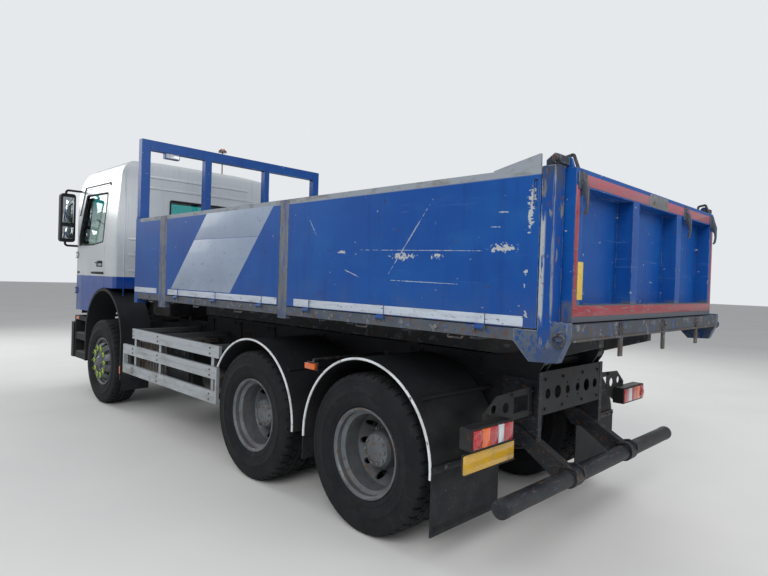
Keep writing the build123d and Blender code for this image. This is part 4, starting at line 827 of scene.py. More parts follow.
    # plated nuts and bolts gone dull, with rust creeping from their edges
    "zincPlatedSteel": {
        "base": "#8B8D8C",
        "shader": {"Roughness": 0.45, "Metallic": 0.8},
        "layers": [
            patches(0.015, (0.48, 0.62), "#5C4434", metal=0.1, rough=0.9),
            patches(0.1, (0.4, 0.7), "#5B5852", amount=0.6, metal=0.2),
        ],
        "grain": (0.003, 0.0001),
    },
    # white reflective tape: a fine cell pattern, grimy, its edges rubbed away
    "retroreflectiveTape": {
        "base": "#B4BDC9",
        "shader": {"Roughness": 0.35, "Coat Weight": 0.3},
        "layers": [
            patches(0.006, (0.45, 0.55), "#AEB8C6", amount=0.5, detail=0.0),
            patches((0.25, 0.25, 0.03), (0.45, 0.7), "#8F959C", amount=0.7, rough=0.6),
            patches((0.05, 0.05, 0.02), (0.62, 0.66), "#565D68", rough=0.7),
        ],
        "grain": (0.006, 0.0001),
    },
    # red reflective tape, faded pinkish on top, dirty and scraped
    "redReflectiveTape": {
        "base": "#8E2430",
        "shader": {"Roughness": 0.38, "Coat Weight": 0.3},
        "layers": [
            patches(0.006, (0.45, 0.55), "#781C28", amount=0.6, detail=0.0),
            patches((0.2, 0.3, 0.1), (0.5, 0.75), "#A04A54", amount=0.5, rough=0.6),
            {"colour": "#9C5560", "zone": [(2, 2.1, None, 0.05)], "amount": 0.8, "rough": 0.6},
            patches((0.05, 0.06, 0.012), (0.6, 0.64), "#6E6A6C", rough=0.7),
            patches((0.03, 0.02, 0.03), (0.66, 0.7), "#3A3F52", rough=0.7),
        ],
        "grain": (0.006, 0.0001),
    },
    # white sign film, painted in the grey-blue of its shade: glossy, weather-streaked, rubbed through in places
    "castVinylFilm": {
        "base": "#8E9CB0",
        "shader": {"Roughness": 0.5, "Coat Weight": 0.08},
        "layers": [
            patches((0.7, 0.7, 0.4), (0.4, 0.72), "#808EA3", amount=0.8),
            patches((0.05, 0.05, 0.6), (0.55, 0.8), "#7F8B9E", amount=0.5, rough=0.5),
            patches((0.09, 0.09, 0.05), (0.66, 0.69), "#5F74A2", amount=0.8, rough=0.6),
            patches(0.02, (0.67, 0.7), "#3E5A94", rough=0.7),
            {**roadDirt, "zone": [(2, None, 1.62, 0.12)], "amount": 0.35},
        ],
        "grain": (0.3, 0.0004),
    },
    # blank yellow label, faded, with scratches
    "yellowVinylLabel": {
        "base": "#D3B23A",
        "shader": {"Roughness": 0.4},
        "layers": [
            patches((0.1, 0.1, 0.05), (0.4, 0.7), "#BFA75A", amount=0.7),
            patches((0.02, 0.02, 0.005), (0.62, 0.66), "#6F684E", amount=0.8, rough=0.7),
        ],
        "grain": (0.004, 0.00006),
    },
    # zinc-dipped steel weathered to a dull spangled grey, brown where it is worn
    "galvanisedSteel": {
        "base": "#777A7D",
        "shader": {"Roughness": 0.5, "Metallic": 0.5},
        "layers": [
            patches(0.012, (0.45, 0.55), "#6A6E72", amount=0.8),
            patches(0.05, (0.52, 0.64), "#5C4636", metal=0.0, rough=0.9),
            patches(0.05, (0.3, 0.5), "#A5A8AB", edge=0.005, rough=0.35),
        ],
        "grain": (0.004, 0.0002),
    },
    # hot-forged scale, near black, brown in the hollows and rubbed bright on its corners
    "forgedSteel": {
        "base": "#26292E",
        "shader": {"Roughness": 0.55, "Metallic": 0.4},
        "layers": [
            patches(0.04, (0.48, 0.64), "#4A382C", metal=0.0, rough=0.9),
            patches(0.04, (0.35, 0.55), "#7C7F84", edge=0.004, rough=0.4),
        ],
        "grain": (0.005, 0.0004),
    },
    # forged hooks: blue-grey scale, rust in the hollows, bright where they rub
    "blueBlackSteel": {
        "base": "#3C4553",
        "shader": {"Roughness": 0.55, "Metallic": 0.3},
        "layers": [
            patches(0.03, (0.55, 0.68), "#4A382C", metal=0.0, rough=0.9),
            patches(0.04, (0.35, 0.55), "#8A8F96", edge=0.004, rough=0.4),
        ],
        "grain": (0.005, 0.0003),
    },
    # moulded red lens: glossy, fine vertical ribs, a film of road dirt
    "redPolycarbonate": {
        "base": "#B01E2A",
        "shader": {"Roughness": 0.16, "Coat Weight": 0.8, "Specular IOR Level": 0.6},
        "layers": [
            patches((0.5, 0.009, 0.5), (0.44, 0.56), "#86121D", amount=0.7),
            patches((0.03, 0.03, 0.02), (0.52, 0.72), "#8B6A62", amount=0.5, rough=0.6),
        ],
        "grain": ((0.2, 0.006, 0.006), 0.0006),
    },
    # moulded amber lens and side markers, ribbed inside, slightly milky
    "amberPolycarbonate": {
        "base": "#E0661C",
        "shader": {"Roughness": 0.18, "Coat Weight": 0.8, "Specular IOR Level": 0.6},
        "layers": [
            patches((0.009, 0.009, 0.5), (0.44, 0.56), "#B84C10", amount=0.6),
            patches((0.03, 0.03, 0.02), (0.54, 0.72), "#8B6A52", amount=0.5, rough=0.6),
        ],
        "grain": (0.006, 0.0005),
    },
    # clear lens over a bright bowl, with moulded ribs
    "clearRibbedPolycarbonate": {
        "base": "#CDD2D6",
        "shader": {"Roughness": 0.14, "Coat Weight": 0.9, "Metallic": 0.2},
        "layers": [
            patches((0.5, 0.009, 0.5), (0.42, 0.58), "#9AA3AB", amount=0.7),
            patches((0.03, 0.03, 0.02), (0.54, 0.72), "#8E8A80", amount=0.45, rough=0.5),
        ],
        "grain": ((0.2, 0.006, 0.006), 0.0006),
    },
    # retroreflective acrylic number plate, left blank, dusty with stone chips
    "yellowAcrylicPlate": {
        "base": "#D9A92B",
        "shader": {"Roughness": 0.22, "Coat Weight": 0.6},
        "layers": [
            patches(0.006, (0.45, 0.55), "#CB9B22", amount=0.6, detail=0.0),
            patches((0.12, 0.12, 0.08), (0.45, 0.72), "#A38A52", amount=0.7, rough=0.5),
            patches(0.008, (0.68, 0.71), "#5E5440", rough=0.8),
        ],
        "grain": (0.004, 0.00004),
    },
    # the front number plate: the same sheet in white, also blank
    "whiteAcrylicPlate": {
        "base": "#C9CBC8",
        "shader": {"Roughness": 0.22, "Coat Weight": 0.6},
        "layers": [
            patches((0.12, 0.12, 0.08), (0.45, 0.72), "#A5A299", amount=0.7, rough=0.5),
            patches(0.008, (0.68, 0.71), "#5E5440", rough=0.8),
        ],
        "grain": (0.004, 0.00004),
    },
    # extruded white piping pushed over the mudguard edge, grey with dirt in places
    "whitePvcPiping": {
        "base": "#D5D9DC",
        "shader": {"Roughness": 0.4},
        "layers": [
            patches(0.15, (0.48, 0.7), "#A4A6A4", amount=0.8, rough=0.6),
            patches(0.03, (0.64, 0.7), "#5E5B55", rough=0.8),
        ],
        "grain": (0.004, 0.0001),
    },
    # extruded sealing rubber: matt black, chalky where the sun has reached it
    "epdmRubber": {
        "base": "#141517",
        "shader": {"Roughness": 0.7},
        "layers": [patches(0.08, (0.45, 0.7), "#2E3032", amount=0.8)],
        "grain": (0.003, 0.0001),
    },
    # mirror glass: bright, a few dried drops
    "silveredGlass": {
        "base": "#B9C1C5",
        "shader": {"Roughness": 0.04, "Metallic": 1.0},
        "layers": [
            patches((0.015, 0.015, 0.02), (0.62, 0.7), "#9BA2A4", amount=0.7, rough=0.25),
        ],
    },
    # black moulded net behind the slats, cells about 8 mm, drawn as dark dots
    "grilleNet": {
        "base": "#0E0F10",
        "shader": {"Roughness": 0.65},
        "layers": [patches((0.5, 0.008, 0.008), (0.48, 0.56), "#2B2D30", detail=0.0)],
        "grain": ((0.5, 0.008, 0.008), 0.002),
    },
}
materials = {name: weathered(name, look) for name, look in looks.items()}

# toughened glass, grey-green; the windscreen has a teal sun band along its top
glassSettings = {
    "tint": "#C3D3CE",
    "band": "#35B4B6",
    "zone": [(2, 2.6, None, 0.06), (0, 5.9, None, 0.01)],
    "shader": {"Roughness": 0.02, "IOR": 1.5, "Transmission Weight": 1.0},
}
tintedGlass = bpy.data.materials.new("tintedGlass")
tintedGlass.use_nodes = True
glassTree = tintedGlass.node_tree
glassShader = glassTree.nodes["Principled BSDF"]
for socket, value in glassSettings["shader"].items():
    glassShader.inputs[socket].default_value = value
glassPlace = addNode(glassTree, "ShaderNodeTexCoord").outputs["Object"]
glassAxes = addNode(glassTree, "ShaderNodeSeparateXYZ", links={0: glassPlace}).outputs
bandMask = layerMask(glassTree, glassPlace, glassAxes, {"zone": glassSettings["zone"]})
bandColours = {"data_type": "RGBA", 6: colourOf(glassSettings["tint"]), 7: colourOf(glassSettings["band"])}
bandMix = addNode(glassTree, "ShaderNodeMix", bandColours, {0: bandMask})
glassTree.links.new(bandMix.outputs[2], glassShader.inputs["Base Color"])
materials["tintedGlass"] = tintedGlass

nodeFinishes = {
    "blueEnamel": "dropside_front_left dropside_front_right dropside_rear_left dropside_rear_right headboard"
    " tailgate",
    "postPaint": "bed_posts",
    "bedSteel": "bed_floor",
    "chassisEnamel": "chassis_frame subframe front_axle drive_axles leaf_springs prop_shafts knuckle_left"
    " knuckle_right track_rod tail_lamps",
    "underrunSteel": "underrun_bar",
    "blackPolypropylene": "front_bumper front_wings rear_mudguards grille mirrors battery_box",
    "castIron": "engine_block",
    "anodisedAluminium": "side_guards",
    "brushedAluminium": "fuel_tank",
    "aluminisedSteel": "exhaust_box",
    "tankEnamel": "air_tanks hydraulic_tank ram_barrel",
    "rubberSheet": "mudflaps",
    "cabEnamel": "cab_shell door_left door_right",
    "grainedVinyl": "dashboard seat_bases steering_wheel",
    "wovenPolyester": "seats",
    "hardChrome": "ram_stage_1 ram_stage_2 ram_stage_3",
    "wheelEnamel": " ".join(f"rim_{place}_{side}" for place in axles for side in sides),
    "tyreRubber": " ".join(f"tyre_{place}_{side}" for place in axles for side in sides),
    "beaconPlastic": "beacon",
    "clearPolycarbonate": "headlamps",
    "tintedGlass": "cab_glass door_glass_left door_glass_right",
}
for finish, names in nodeFinishes.items():
    for name in names.split():
        nodes[name].data.materials.clear()
        nodes[name].data.materials.append(materials[finish])

print("tyres and wheel fittings")
tyreSettings = {
    "outer": 0.530,
    "crownFall": 0.2,  # how fast the tread's radius falls with the square of the distance from its middle
    "grooves": (0.072, 0.025),  # middles of the lengthwise grooves, across the tread
    "grooveHalf": 0.006,
    "grooveDeep": 0.012,
    "grooveSlope": 0.002,
    "steps": 176,
    "lugEvery": 4,  # every fourth step across the tread is a cross groove
    "lugInset": 0.0035,
    "lugDeep": 0.009,
    # tread rows that cross grooves cut, as distances from the middle, and their shift in steps
    "lugRows": (((0.078, 0.15), 0), ((0.031, 0.067), 2), ((-0.067, -0.031), 0), ((-0.15, -0.078), 2)),
    "treadFrom": 0.505,
    "treadLooks": 0.35,  # least part of a tread face's normal that points away from the axle
    # side wall from the bead up to the shoulder: radius, distance from the middle
    "flank": [
        (0.2866, 0.1215), (0.302, 0.1215), (0.306, 0.129), (0.318, 0.137), (0.335, 0.1435), (0.3365, 0.1465),
        (0.3415, 0.1465), (0.343, 0.145), (0.372, 0.1525), (0.402, 0.1548), (0.404, 0.1565), (0.409, 0.1565),
        (0.411, 0.1548), (0.440, 0.1535), (0.468, 0.1495), (0.484, 0.1485), (0.4855, 0.1505), (0.497, 0.1478),
        (0.512, 0.1415), (0.5225, 0.131), (0.5275, 0.114), (0.5288, 0.094),
    ],
}


def tyreProfile():
    s = tyreSettings
    right = list(s["flank"])
    for middle in s["grooves"]:
        crown = s["outer"] - s["crownFall"] * middle * middle
        deep, low, high = crown - s["grooveDeep"], middle - s["grooveHalf"], middle + s["grooveHalf"]
        right += [(crown, high), (deep, high - s["grooveSlope"]), (deep, low + s["grooveSlope"]), (crown, low)]
    return right + [(radius, -width) for radius, width in reversed(right)]


def crossGroove(rows, shift):
    # the faces of every fourth step, in the tread rows between two distances from the middle
    s = tyreSettings
    step = math.tau / s["steps"]

    def chosen(centre, normal):
        radius = math.hypot(centre.x, centre.z)
        turn = math.floor(math.atan2(centre.z, centre.x) / step + 0.001) + shift
        away = (centre.x * normal.x + centre.z * normal.z) / radius > s["treadLooks"]
        inRow = radius > s["treadFrom"] and rows[0] < centre.y < rows[1]
        return away and inRow and turn % s["lugEvery"] == 0

    return chosen


tyreModel = turned("tyreModel", tyreProfile(), tyreSettings["steps"])
for rows, shift in tyreSettings["lugRows"]:
    shapeFaces(tyreModel, crossGroove(rows, shift), tyreSettings["lugInset"], -tyreSettings["lugDeep"])

wheelSettings = {
    # each axle: its place along the truck, the middles of its tyres and the face under its nuts
    "front": {"x": 4.95, "middles": (1.023,), "nutFace": 1.188},
    "middle": {"x": 1.35, "middles": (1.077, 0.727), "nutFace": 0.9245},
    "rear": {"x": 0.0, "middles": (1.077, 0.727), "nutFace": 0.9245},
}
nutSettings = {
    "count": 10,
    "circle": 0.1675,
    "hubBolts": 10,
    "hubCircle": 0.088,
    "hubFace": 1.0985,
    "pointerLift": 0.004,
    # a hexagon on its washer, with the stud's end standing out of it: y, y, radius, sides, rounding
    "nut": {
        "washer": (0, 0.004, 0.022, 20, 0.001),
        "hexagon": (0.003, 0.024, 0.0178, 6, 0.0018),
        "stud": (0.02, 0.036, 0.0105, 12, 0.002),
    },
    # the small hexagon bolt of brackets, plates and hubs, in the same way
    "bolt": {"washer": (0, 0.0025, 0.0125, 16, 0.0006), "hexagon": (0.002, 0.0105, 0.0098, 6, 0.001)},
    # loose-nut pointer: a moulded ring with a long pointed tab
    "pointerRing": [(0.019, 0), (0.026, 0), (0.026, 0.009), (0.024, 0.012), (0.019, 0.012)],
    "pointerTab": [(-0.011, 0.022), (0.011, 0.022), (0, 0.052)],
    "tabWall": (0.001, 0.007, 0.001),
}


def stacked(name, parts):
    # rods in line along Y
    rods = [rod(key, (0, low, 0), (0, high, 0), *more) for key, (low, high, *more) in parts.items()]
    return joinAll(name, rods)


def roundTheWheel(sample, count, radius, axleX, y):
    copies = []
    for index in range(count):
        angle = math.tau * index / count
        turn = Matrix.Rotation(math.pi / 2 - angle, 4, "Y")
        move = (axleX + radius * math.cos(angle), y, axleHeight + radius * math.sin(angle))
        copies.append(copyOf(sample, "copy", move, turn))
    return copies


def boltsAt(places, way, size=1.0):
    # copies of the bracket bolt, its head pointing along way
    turn = Vector((0, 1, 0)).rotation_difference(Vector(way)).to_matrix().to_4x4() @ Matrix.Scale(size, 4)
    return [copyOf(boltModel, "bolt", place, turn) for place in places]


n = nutSettings
nutModel = stacked("nutModel", n["nut"])
boltModel = stacked("boltModel", n["bolt"])
tabFrom, tabThick, tabEdge = n["tabWall"]
pointerTab = sheetAcrossY("pointerTab", tabFrom, n["pointerTab"], tabThick, tabEdge)
pointerModel = joinAll("pointerModel", [turned("pointerRing", n["pointerRing"], 24), pointerTab])
for place, s in wheelSettings.items():
    wheel = f"wheel_{place}_{{side}}"
    tyres = [copyOf(tyreModel, "tyreCopy", (s["x"], y, axleHeight)) for y in s["middles"]]
    rubber = fitPair("tyre_rubber_" + place, tyres, "tyreRubber", wheel, 40)
    for side, piece in rubber.items():
        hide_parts(f"tyre_{place}_{side}")
    nuts = roundTheWheel(nutModel, n["count"], n["circle"], s["x"], s["nutFace"])
    fitPair("wheel_nuts_" + place, nuts, "zincPlatedSteel", wheel)
    if place == "front":
        pointers = roundTheWheel(pointerModel, n["count"], n["circle"], s["x"], s["nutFace"] + n["pointerLift"])
        fitPair("nut_pointers_front", pointers, "limePolyethylene", wheel)
    else:
        hubBolts = roundTheWheel(boltModel, n["hubBolts"], n["hubCircle"], s["x"], n["hubFace"])
        fitPair("hub_bolts_" + place, hubBolts, "zincPlatedSteel", wheel)
discard(tyreModel, nutModel, pointerModel)

print("tapes, band and plates on the body")
filmGap = 0.0002  # a film stands this far off the face under it
tapeSettings = {
    "face": 1.25,
    "low": 1.466,
    "high": 1.519,
    "thick": 0.0007,
    "edge": 0.0002,
    "corner": 0.004,
    "runs": {"rear": (-1.183, 0.765), "front": (0.985, 2.90), "fixed": (3.165, 3.735)},
    # short tapes over the hinge straps: middles, half length and how far the strap stands out
    "straps": {"rear": (-0.924, -0.160, 0.604), "front": (1.221, 1.9625, 2.704)},
    "strapHalf": 0.0295,
    "strapProud": 0.007,
    "strapCorner": 0.001,
}
bandSettings = {
    "low": 1.527,
    "high": 2.236,
    "seam": 2.003,
    "seamHalf": 0.0015,
    "thick": 0.0005,
    "edge": 0.0001,
    # top and foot of its two slanting ends as (x, z)
    "rear": ((1.036, 2.262), (1.686, 1.527)),
    "front": ((2.128, 2.236), (2.829, 1.527)),
}
t = tapeSettings
for run, (x0, x1) in t["runs"].items():
    corners = cutCorners((x0, t["low"]), (x1, t["high"]), t["corner"])
    tape = [sheetAcrossY("tape", t["face"] + filmGap, corners, t["thick"], t["edge"])]
    for x in t["straps"].get(run, ()):
        low, high = (x - t["strapHalf"], t["low"]), (x + t["strapHalf"], t["high"])
        corners = cutCorners(low, high, t["strapCorner"])
        tape.append(sheetAcrossY("over", t["face"] + t["strapProud"] + filmGap, corners, t["thick"], t["edge"]))
    body = "tipping_body" if run == "fixed" else f"dropside_{run}_{{side}}_body"
    fitPair("side_tape_" + run, tape, "retroreflectiveTape", body)


def alongEdge(edge, z):
    (xTop, zTop), (xLow, zLow) = edge
    return xLow + (xTop - xLow) * (z - zLow) / (zTop - zLow)


b = bandSettings
bandParts = {"lower": (b["low"], b["seam"] - b["seamHalf"]), "upper": (b["seam"] + b["seamHalf"], b["high"])}
for part, (low, high) in bandParts.items():
    ends = (("rear", low), ("front", low), ("front", high), ("rear", high))
    corners = [(alongEdge(b[end], z), z) for end, z in ends]
    band = sheetAcrossY("band", t["face"] + filmGap, corners, b["thick"], b["edge"])
    fitPair("vinyl_band_" + part, [band], "castVinylFilm", "dropside_front_{side}_body")

gateSettings = {
    "face": -1.390,
    "thick": 0.0008,
    "edge": 0.0002,
    "corner": 0.003,
    # each red strip: lower corner and upper corner as (y, z)
    "red": [
        ((0.175, 2.190), (1.045, 2.247)), ((-1.045, 2.190), (-0.140, 2.247)), ((-1.138, 1.527), (1.138, 1.580)),
        ((1.098, 1.580), (1.138, 2.182)), ((-1.138, 1.580), (-1.098, 2.182)),
    ],
    "label": ((1.037, 1.612), (1.095, 1.803)),
    # the plain patch between the two upper red tapes, where the steel shows
    "patch": ((-0.136, 2.186), (0.171, 2.262)),
    "patchWall": (0.002, 0.0005, 0.006),
}
g = gateSettings


def gateStrip(low, high):
    corners = cutCorners(low, high, g["corner"])
    return sheetAcrossX("strip", g["face"] - filmGap, corners, -g["thick"], g["edge"])


reds = [gateStrip(low, high) for low, high in g["red"]]
fitPiece("gate_red_tape", reds, "redReflectiveTape", "tailgate_body")
fitPiece("gate_label", [gateStrip(*g["label"])], "yellowVinylLabel", "tailgate_body")
patchThick, patchEdge, patchCorner = g["patchWall"]
patchCorners = cutCorners(*g["patch"], patchCorner)
patch = sheetAcrossX("patch", g["face"] - filmGap, patchCorners, -patchThick, patchEdge)
fitPiece("gate_patch", [patch], "galvanisedSteel", "tailgate_body")

print("tailgate hooks, rods and rings")
hookSettings = {
    "face": -1.391,
    "wall": 0.016,
    "edge": 0.0025,
    "places": (1.080, -0.500, -1.100),
    # a wedge plate standing off the gate, its tip curled down into a claw: x from the face, z
    "outline": [
        (0.000, 2.262), (-0.010, 2.255), (-0.038, 2.165), (-0.038, 2.085), (-0.033, 2.050), (-0.020, 2.036),
        (-0.013, 2.043), (-0.020, 2.056), (-0.024, 2.085), (-0.021, 2.118), (-0.010, 2.136), (0.000, 2.138),
    ],
    "foot": ((-0.006, -0.045, 2.165), (0.001, 0.045, 2.25)),
    "footEdge": 0.003,
    "head": ((-0.004, 0, 2.215), (-0.016, 0, 2.215)),
    "headShape": (0.016, 6, 0.002),
}
s = hookSettings
hooks = []
for y in s["places"]:
    outline = [(s["face"] + x, z) for x, z in s["outline"]]
    hooks.append(sheetAcrossY("claw", y - s["wall"] / 2, outline, s["wall"], s["edge"]))
    hooks.append(slab("foot", *moved(s["foot"], (s["face"], y, 0)), s["footEdge"]))
    hooks.append(rod("head", *moved(s["head"], (s["face"], y, 0)), *s["headShape"]))
fitPiece("gate_hooks", hooks, "blueBlackSteel", "tailgate_body")

cornerSettings = {
    # bent rod on the gate's top corner, over its hinge arm
    "loop": [(-1.378, 1.094, 2.262), (-1.346, 1.092, 2.344), (-1.296, 1.090, 2.334), (-1.290, 1.088, 2.262)],
    "loopShape": (0.0085, 0.018),
    # washer, head and split pin of the gate's hinge pin: start, end, radius, sides, rounding
    "cap": [
        ((-1.33, 1.2352, 2.302), (-1.33, 1.241, 2.302), 0.022, 20, 0.001),
        ((-1.33, 1.239, 2.302), (-1.33, 1.254, 2.302), 0.018, 6, 0.002),
        ((-1.33, 1.246, 2.278), (-1.33, 1.249, 2.326), 0.0032, 8),
    ],
    # lashing ring in the corner of the sill, hanging from its staple
    "ring": (-1.392, 1.268, 1.418),
    "ringRadii": (0.030, 0.006),
    "staple": ((-1.410, 1.247, 1.440), (-1.374, 1.247, 1.440), (0, 0.026, 0)),
    "stapleShape": (0.004, 0.01),
}
s = cornerSettings
loop = bentRod("loop", s["loop"], *s["loopShape"])
fitPair("hinge_loop", [loop], "forgedSteel", "tailgate_body")
fitPair("hinge_cap", [rod("cap", *part) for part in s["cap"]], "forgedSteel", "tipping_body")
ringRadius, barRadius = s["ringRadii"]
around = [math.tau * index / 8 for index in range(8)]
section = [(ringRadius + barRadius * math.cos(angle), barRadius * math.sin(angle)) for angle in around]
ring = turned("ring", section, 24, s["ring"])
staple = bentRod("staple", bow(*s["staple"]), *s["stapleShape"])
fitPair("corner_ring", [ring, staple], "forgedSteel", "tipping_body")

# sill blocks over the hanging bars, with the latches that hold the gate shut
sillSettings = {
    "face": -1.422,
    "bars": (-0.70, -0.04, 0.62),
    "block": ((-0.007, -0.022, 1.419), (0.003, 0.022, 1.488)),
    "edge": 0.0025,
    "dish": (0.007, -0.003),
    "dishFrom": 0.9,
    "bolts": ((0, -0.038, 1.452), (0, 0.038, 1.452)),
    "boltSize": 0.72,
}
s = sillSettings
chocks = []
for y in s["bars"]:
    chocks.append(slab("chock", *moved(s["block"], (s["face"], y, 0)), s["edge"]))
    shapeFaces(chocks[-1], looking(rearward, s["dishFrom"]), *s["dish"])
    chocks += boltsAt(moved(s["bolts"], (s["face"], y, 0)), rearward, s["boltSize"])
fitPiece("sill_chocks", chocks, "forgedSteel", "tipping_body")

print("rear lamps and number plate")
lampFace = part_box("tail_lamps")[0].x - rearAxleX + 0.001
rearLampSettings = {
    "low": 0.757,
    "high": 0.863,
    "proud": 0.012,
    "sunk": 0.006,
    "edge": 0.004,
    "crown": (0.006, 0.0025),
    # lens, its outboard and inboard y
    "zones": [
        ("red", 1.218, 1.140), ("orange", 1.1385, 1.060), ("red", 1.0585, 0.978), ("clear", 0.9765, 0.918),
        ("red", 0.9165, 0.822),
    ],
    "finish": {"red": "redPolycarbonate", "orange": "amberPolycarbonate", "clear": "clearRibbedPolycarbonate"},
    "bulge": [(0.0001, 0), (0.036, 0), (0.034, 0.006), (0.022, 0.011), (0.0001, 0.0135)],
    "bulgePlace": (-0.013, 1.179, 0.803),
    # bars of the moulded rim, x counted from the lamp's face, and the loom boot behind
    "rimEdge": 0.003,
    "rim": [
        ((-0.006, 0.812, 0.863), (0.024, 1.228, 0.872)), ((-0.006, 0.812, 0.748), (0.024, 1.228, 0.757)),
        ((-0.006, 0.812, 0.752), (0.024, 0.821, 0.868)), ((-0.006, 1.219, 0.752), (0.024, 1.228, 0.868)),
    ],
    "boot": ((0.085, 0.95, 0.82), (0.119, 0.95, 0.82)),
    "bootShape": (0.026, 20, 0.006),
}
s = rearLampSettings
lenses = {colour: [] for colour in s["finish"]}
for colour, outer, inner in s["zones"]:
    low, high = (lampFace - s["proud"], inner, s["low"]), (lampFace + s["sunk"], outer, s["high"])
    lens = slab("lens", low, high, s["edge"], 3)
    lenses[colour].append(shapeFaces(lens, looking(rearward), *s["crown"]))
bulgePlace = Vector(s["bulgePlace"]) + Vector((lampFace, 0, 0))
lenses["red"].append(turned("bulge", s["bulge"], 32, bulgePlace, (90, "Z")))
for colour, parts in lenses.items():
    fitPair("tail_lens_" + colour, parts, s["finish"][colour], "chassis")
rim = [slab("rim", *moved(bar, (lampFace, 0, 0)), s["rimEdge"]) for bar in s["rim"]]
rim.append(rod("boot", *moved(s["boot"], (lampFace, 0, 0)), *s["bootShape"]))
fitPair("tail_lamp_rim", rim, "blackPolypropylene", "chassis")

plateSettings = {
    "thick": 0.0032,
    "corner": 0.008,
    "edge": 0.0008,
    "rear": ((0.694, 0.598), (1.214, 0.709)),
    "fromLamps": 0.062,
    "holder": ((0.684, 0.588), (1.224, 0.719)),
    "holderWall": (0.0002, 0.004, 0.001),
    # lips below and above the plate, and the two straps that carry it, x counted from the plate
    "bars": [
        ((-0.006, 0.684, 0.588), (0.003, 1.224, 0.597)), ((-0.006, 0.684, 0.710), (0.003, 1.224, 0.719)),
        ((0.004, 0.84, 0.60), (0.016, 0.87, 0.80)), ((0.004, 1.03, 0.60), (0.016, 1.06, 0.80)),
    ],
    "barEdge": 0.002,
    "front": ((-0.26, 0.665), (0.26, 0.776)),
    "frontX": 6.3865,
}
s = plateSettings
plateX = lampFace + s["fromLamps"]
rearPlate = sheetAcrossX("plate", plateX, cutCorners(*s["rear"], s["corner"]), -s["thick"], s["edge"])
fitPiece("number_plate_rear", [rearPlate], "yellowAcrylicPlate", "chassis")
holderFrom, holderThick, holderEdge = s["holderWall"]
holderCorners = cutCorners(*s["holder"], s["corner"])
holder = [sheetAcrossX("holder", plateX + holderFrom, holderCorners, holderThick, holderEdge)]
holder += [slab("bar", *moved(bar, (plateX, 0, 0)), s["barEdge"]) for bar in s["bars"]]
fitPiece("number_plate_holder", holder, "blackPolypropylene", "chassis")

print("mudguard beads, flap bars and side markers")
beadSettings = {
    "radius": 0.606,
    "thick": 0.0085,
    "sides": 8,
    "steps": 40,
    "y": 1.2435,
    "z": 0.552,
    # middle of each arch along the truck, and the angles from straight ahead between which it is edged
    "arches": {"rear": (0.0, -2.5, 182.5), "middle": (1.35, 31.5, 182.5)},
}


def archBead(x, start, end):
    # a round bead along part of a circle
    s = beadSettings
    deselectAll()
    bpy.ops.mesh.primitive_circle_add(
        vertices=s["sides"], radius=s["thick"], location=(s["radius"], 0, 0), fill_type="NGON"
    )
    piece = bpy.context.object
    settle(piece)
    bpy.ops.object.mode_set(mode="EDIT")
    bpy.ops.mesh.select_all(action="SELECT")
    bpy.ops.mesh.spin(steps=s["steps"], angle=math.radians(end - start), center=(0, 0, 0), axis=(0, 1, 0))
    bpy.ops.object.mode_set(mode="OBJECT")
    mendNormals(piece)
    back = Matrix.Rotation(math.radians(-start), 4, "Y")
    piece.data.transform(Matrix.Translation((x, s["y"], s["z"])) @ back)
    return piece


for place, arch in beadSettings["arches"].items():
    fitPair("mudguard_bead_" + place, [archBead(*arch)], "whitePvcPiping", "chassis")

flapSettings = {
    "x": -0.6205,
    "bar": ((-0.005, 0.556, 0.56), (0, 1.240, 0.60)),
    "barEdge": 0.0015,
    "bolts": [(-0.005, y, 0.58) for y in (0.61, 0.78, 0.95, 1.12, 1.21)],
    # ribbed lower border moulded into each rear flap
    "rib": ((-0.003, 0.576, 0), (0.002, 1.220, 0.005)),
    "ribEdge": 0.001,
    "ribs": (0.215, 0.228, 0.241),
}
s = flapSettings
flapBar = [slab("flapBar", *moved(s["bar"], (s["x"], 0, 0)), s["barEdge"])]
flapBar += boltsAt(moved(s["bolts"], (s["x"], 0, 0)), rearward)
fitPair("rear_flap_bar", flapBar, "forgedSteel", "chassis")
border = [slab("rib", *moved(s["rib"], (s["x"], 0, z)), s["ribEdge"]) for z in s["ribs"]]
fitPair("rear_flap_ribs", border, "rubberSheet", "chassis")

markerSettings = {
    "lamp": ((0.552, 1.176, 1.008), (0.668, 1.204, 1.052)),
    "lampEdge": 0.005,
    "dish": (0.005, 0.002),
    "arm": [(0.61, 0.43, 1.075), (0.61, 1.165, 1.075), (0.61, 1.165, 1.030)],
    "armShape": (0.011, 0.03),
    "back": ((0.545, 1.164, 1.000), (0.675, 1.177, 1.060), 0.003),
    "foot": ((0.56, 0.4253, 1.035), (0.66, 0.432, 1.095), 0.002),
    "bolts": [(0.575, 0.432, 1.065), (0.645, 0.432, 1.065)],
}
s = markerSettings
marker = slab("marker", *s["lamp"], s["lampEdge"], 3)
shapeFaces(marker, looking(outward), *s["dish"])
fitPair("side_marker", [marker], "amberPolycarbonate", "chassis")
markerArm = [bentRod("arm", s["arm"], *s["armShape"]), slab("back", *s["back"]), slab("foot", *s["foot"])]
markerArm += boltsAt(s["bolts"], outward)
fitPair("side_marker_arm", markerArm, "forgedSteel", "chassis")

print("cab trims")
# the cab's skin: x of its front and y of its left side at a place
cabShape = {
    "frontX": 6.361,
    "frontBend": 7.109,
    "corner": (0.85, 0.27),
    "rakeFoot": (6.335, 1.96),
    "rake": 0.1964,
    "frontMost": 6.36,
    "side": 1.15,
    "lean": (2.0, 0.08),
    "nose": (5.85, 0.0885),
}


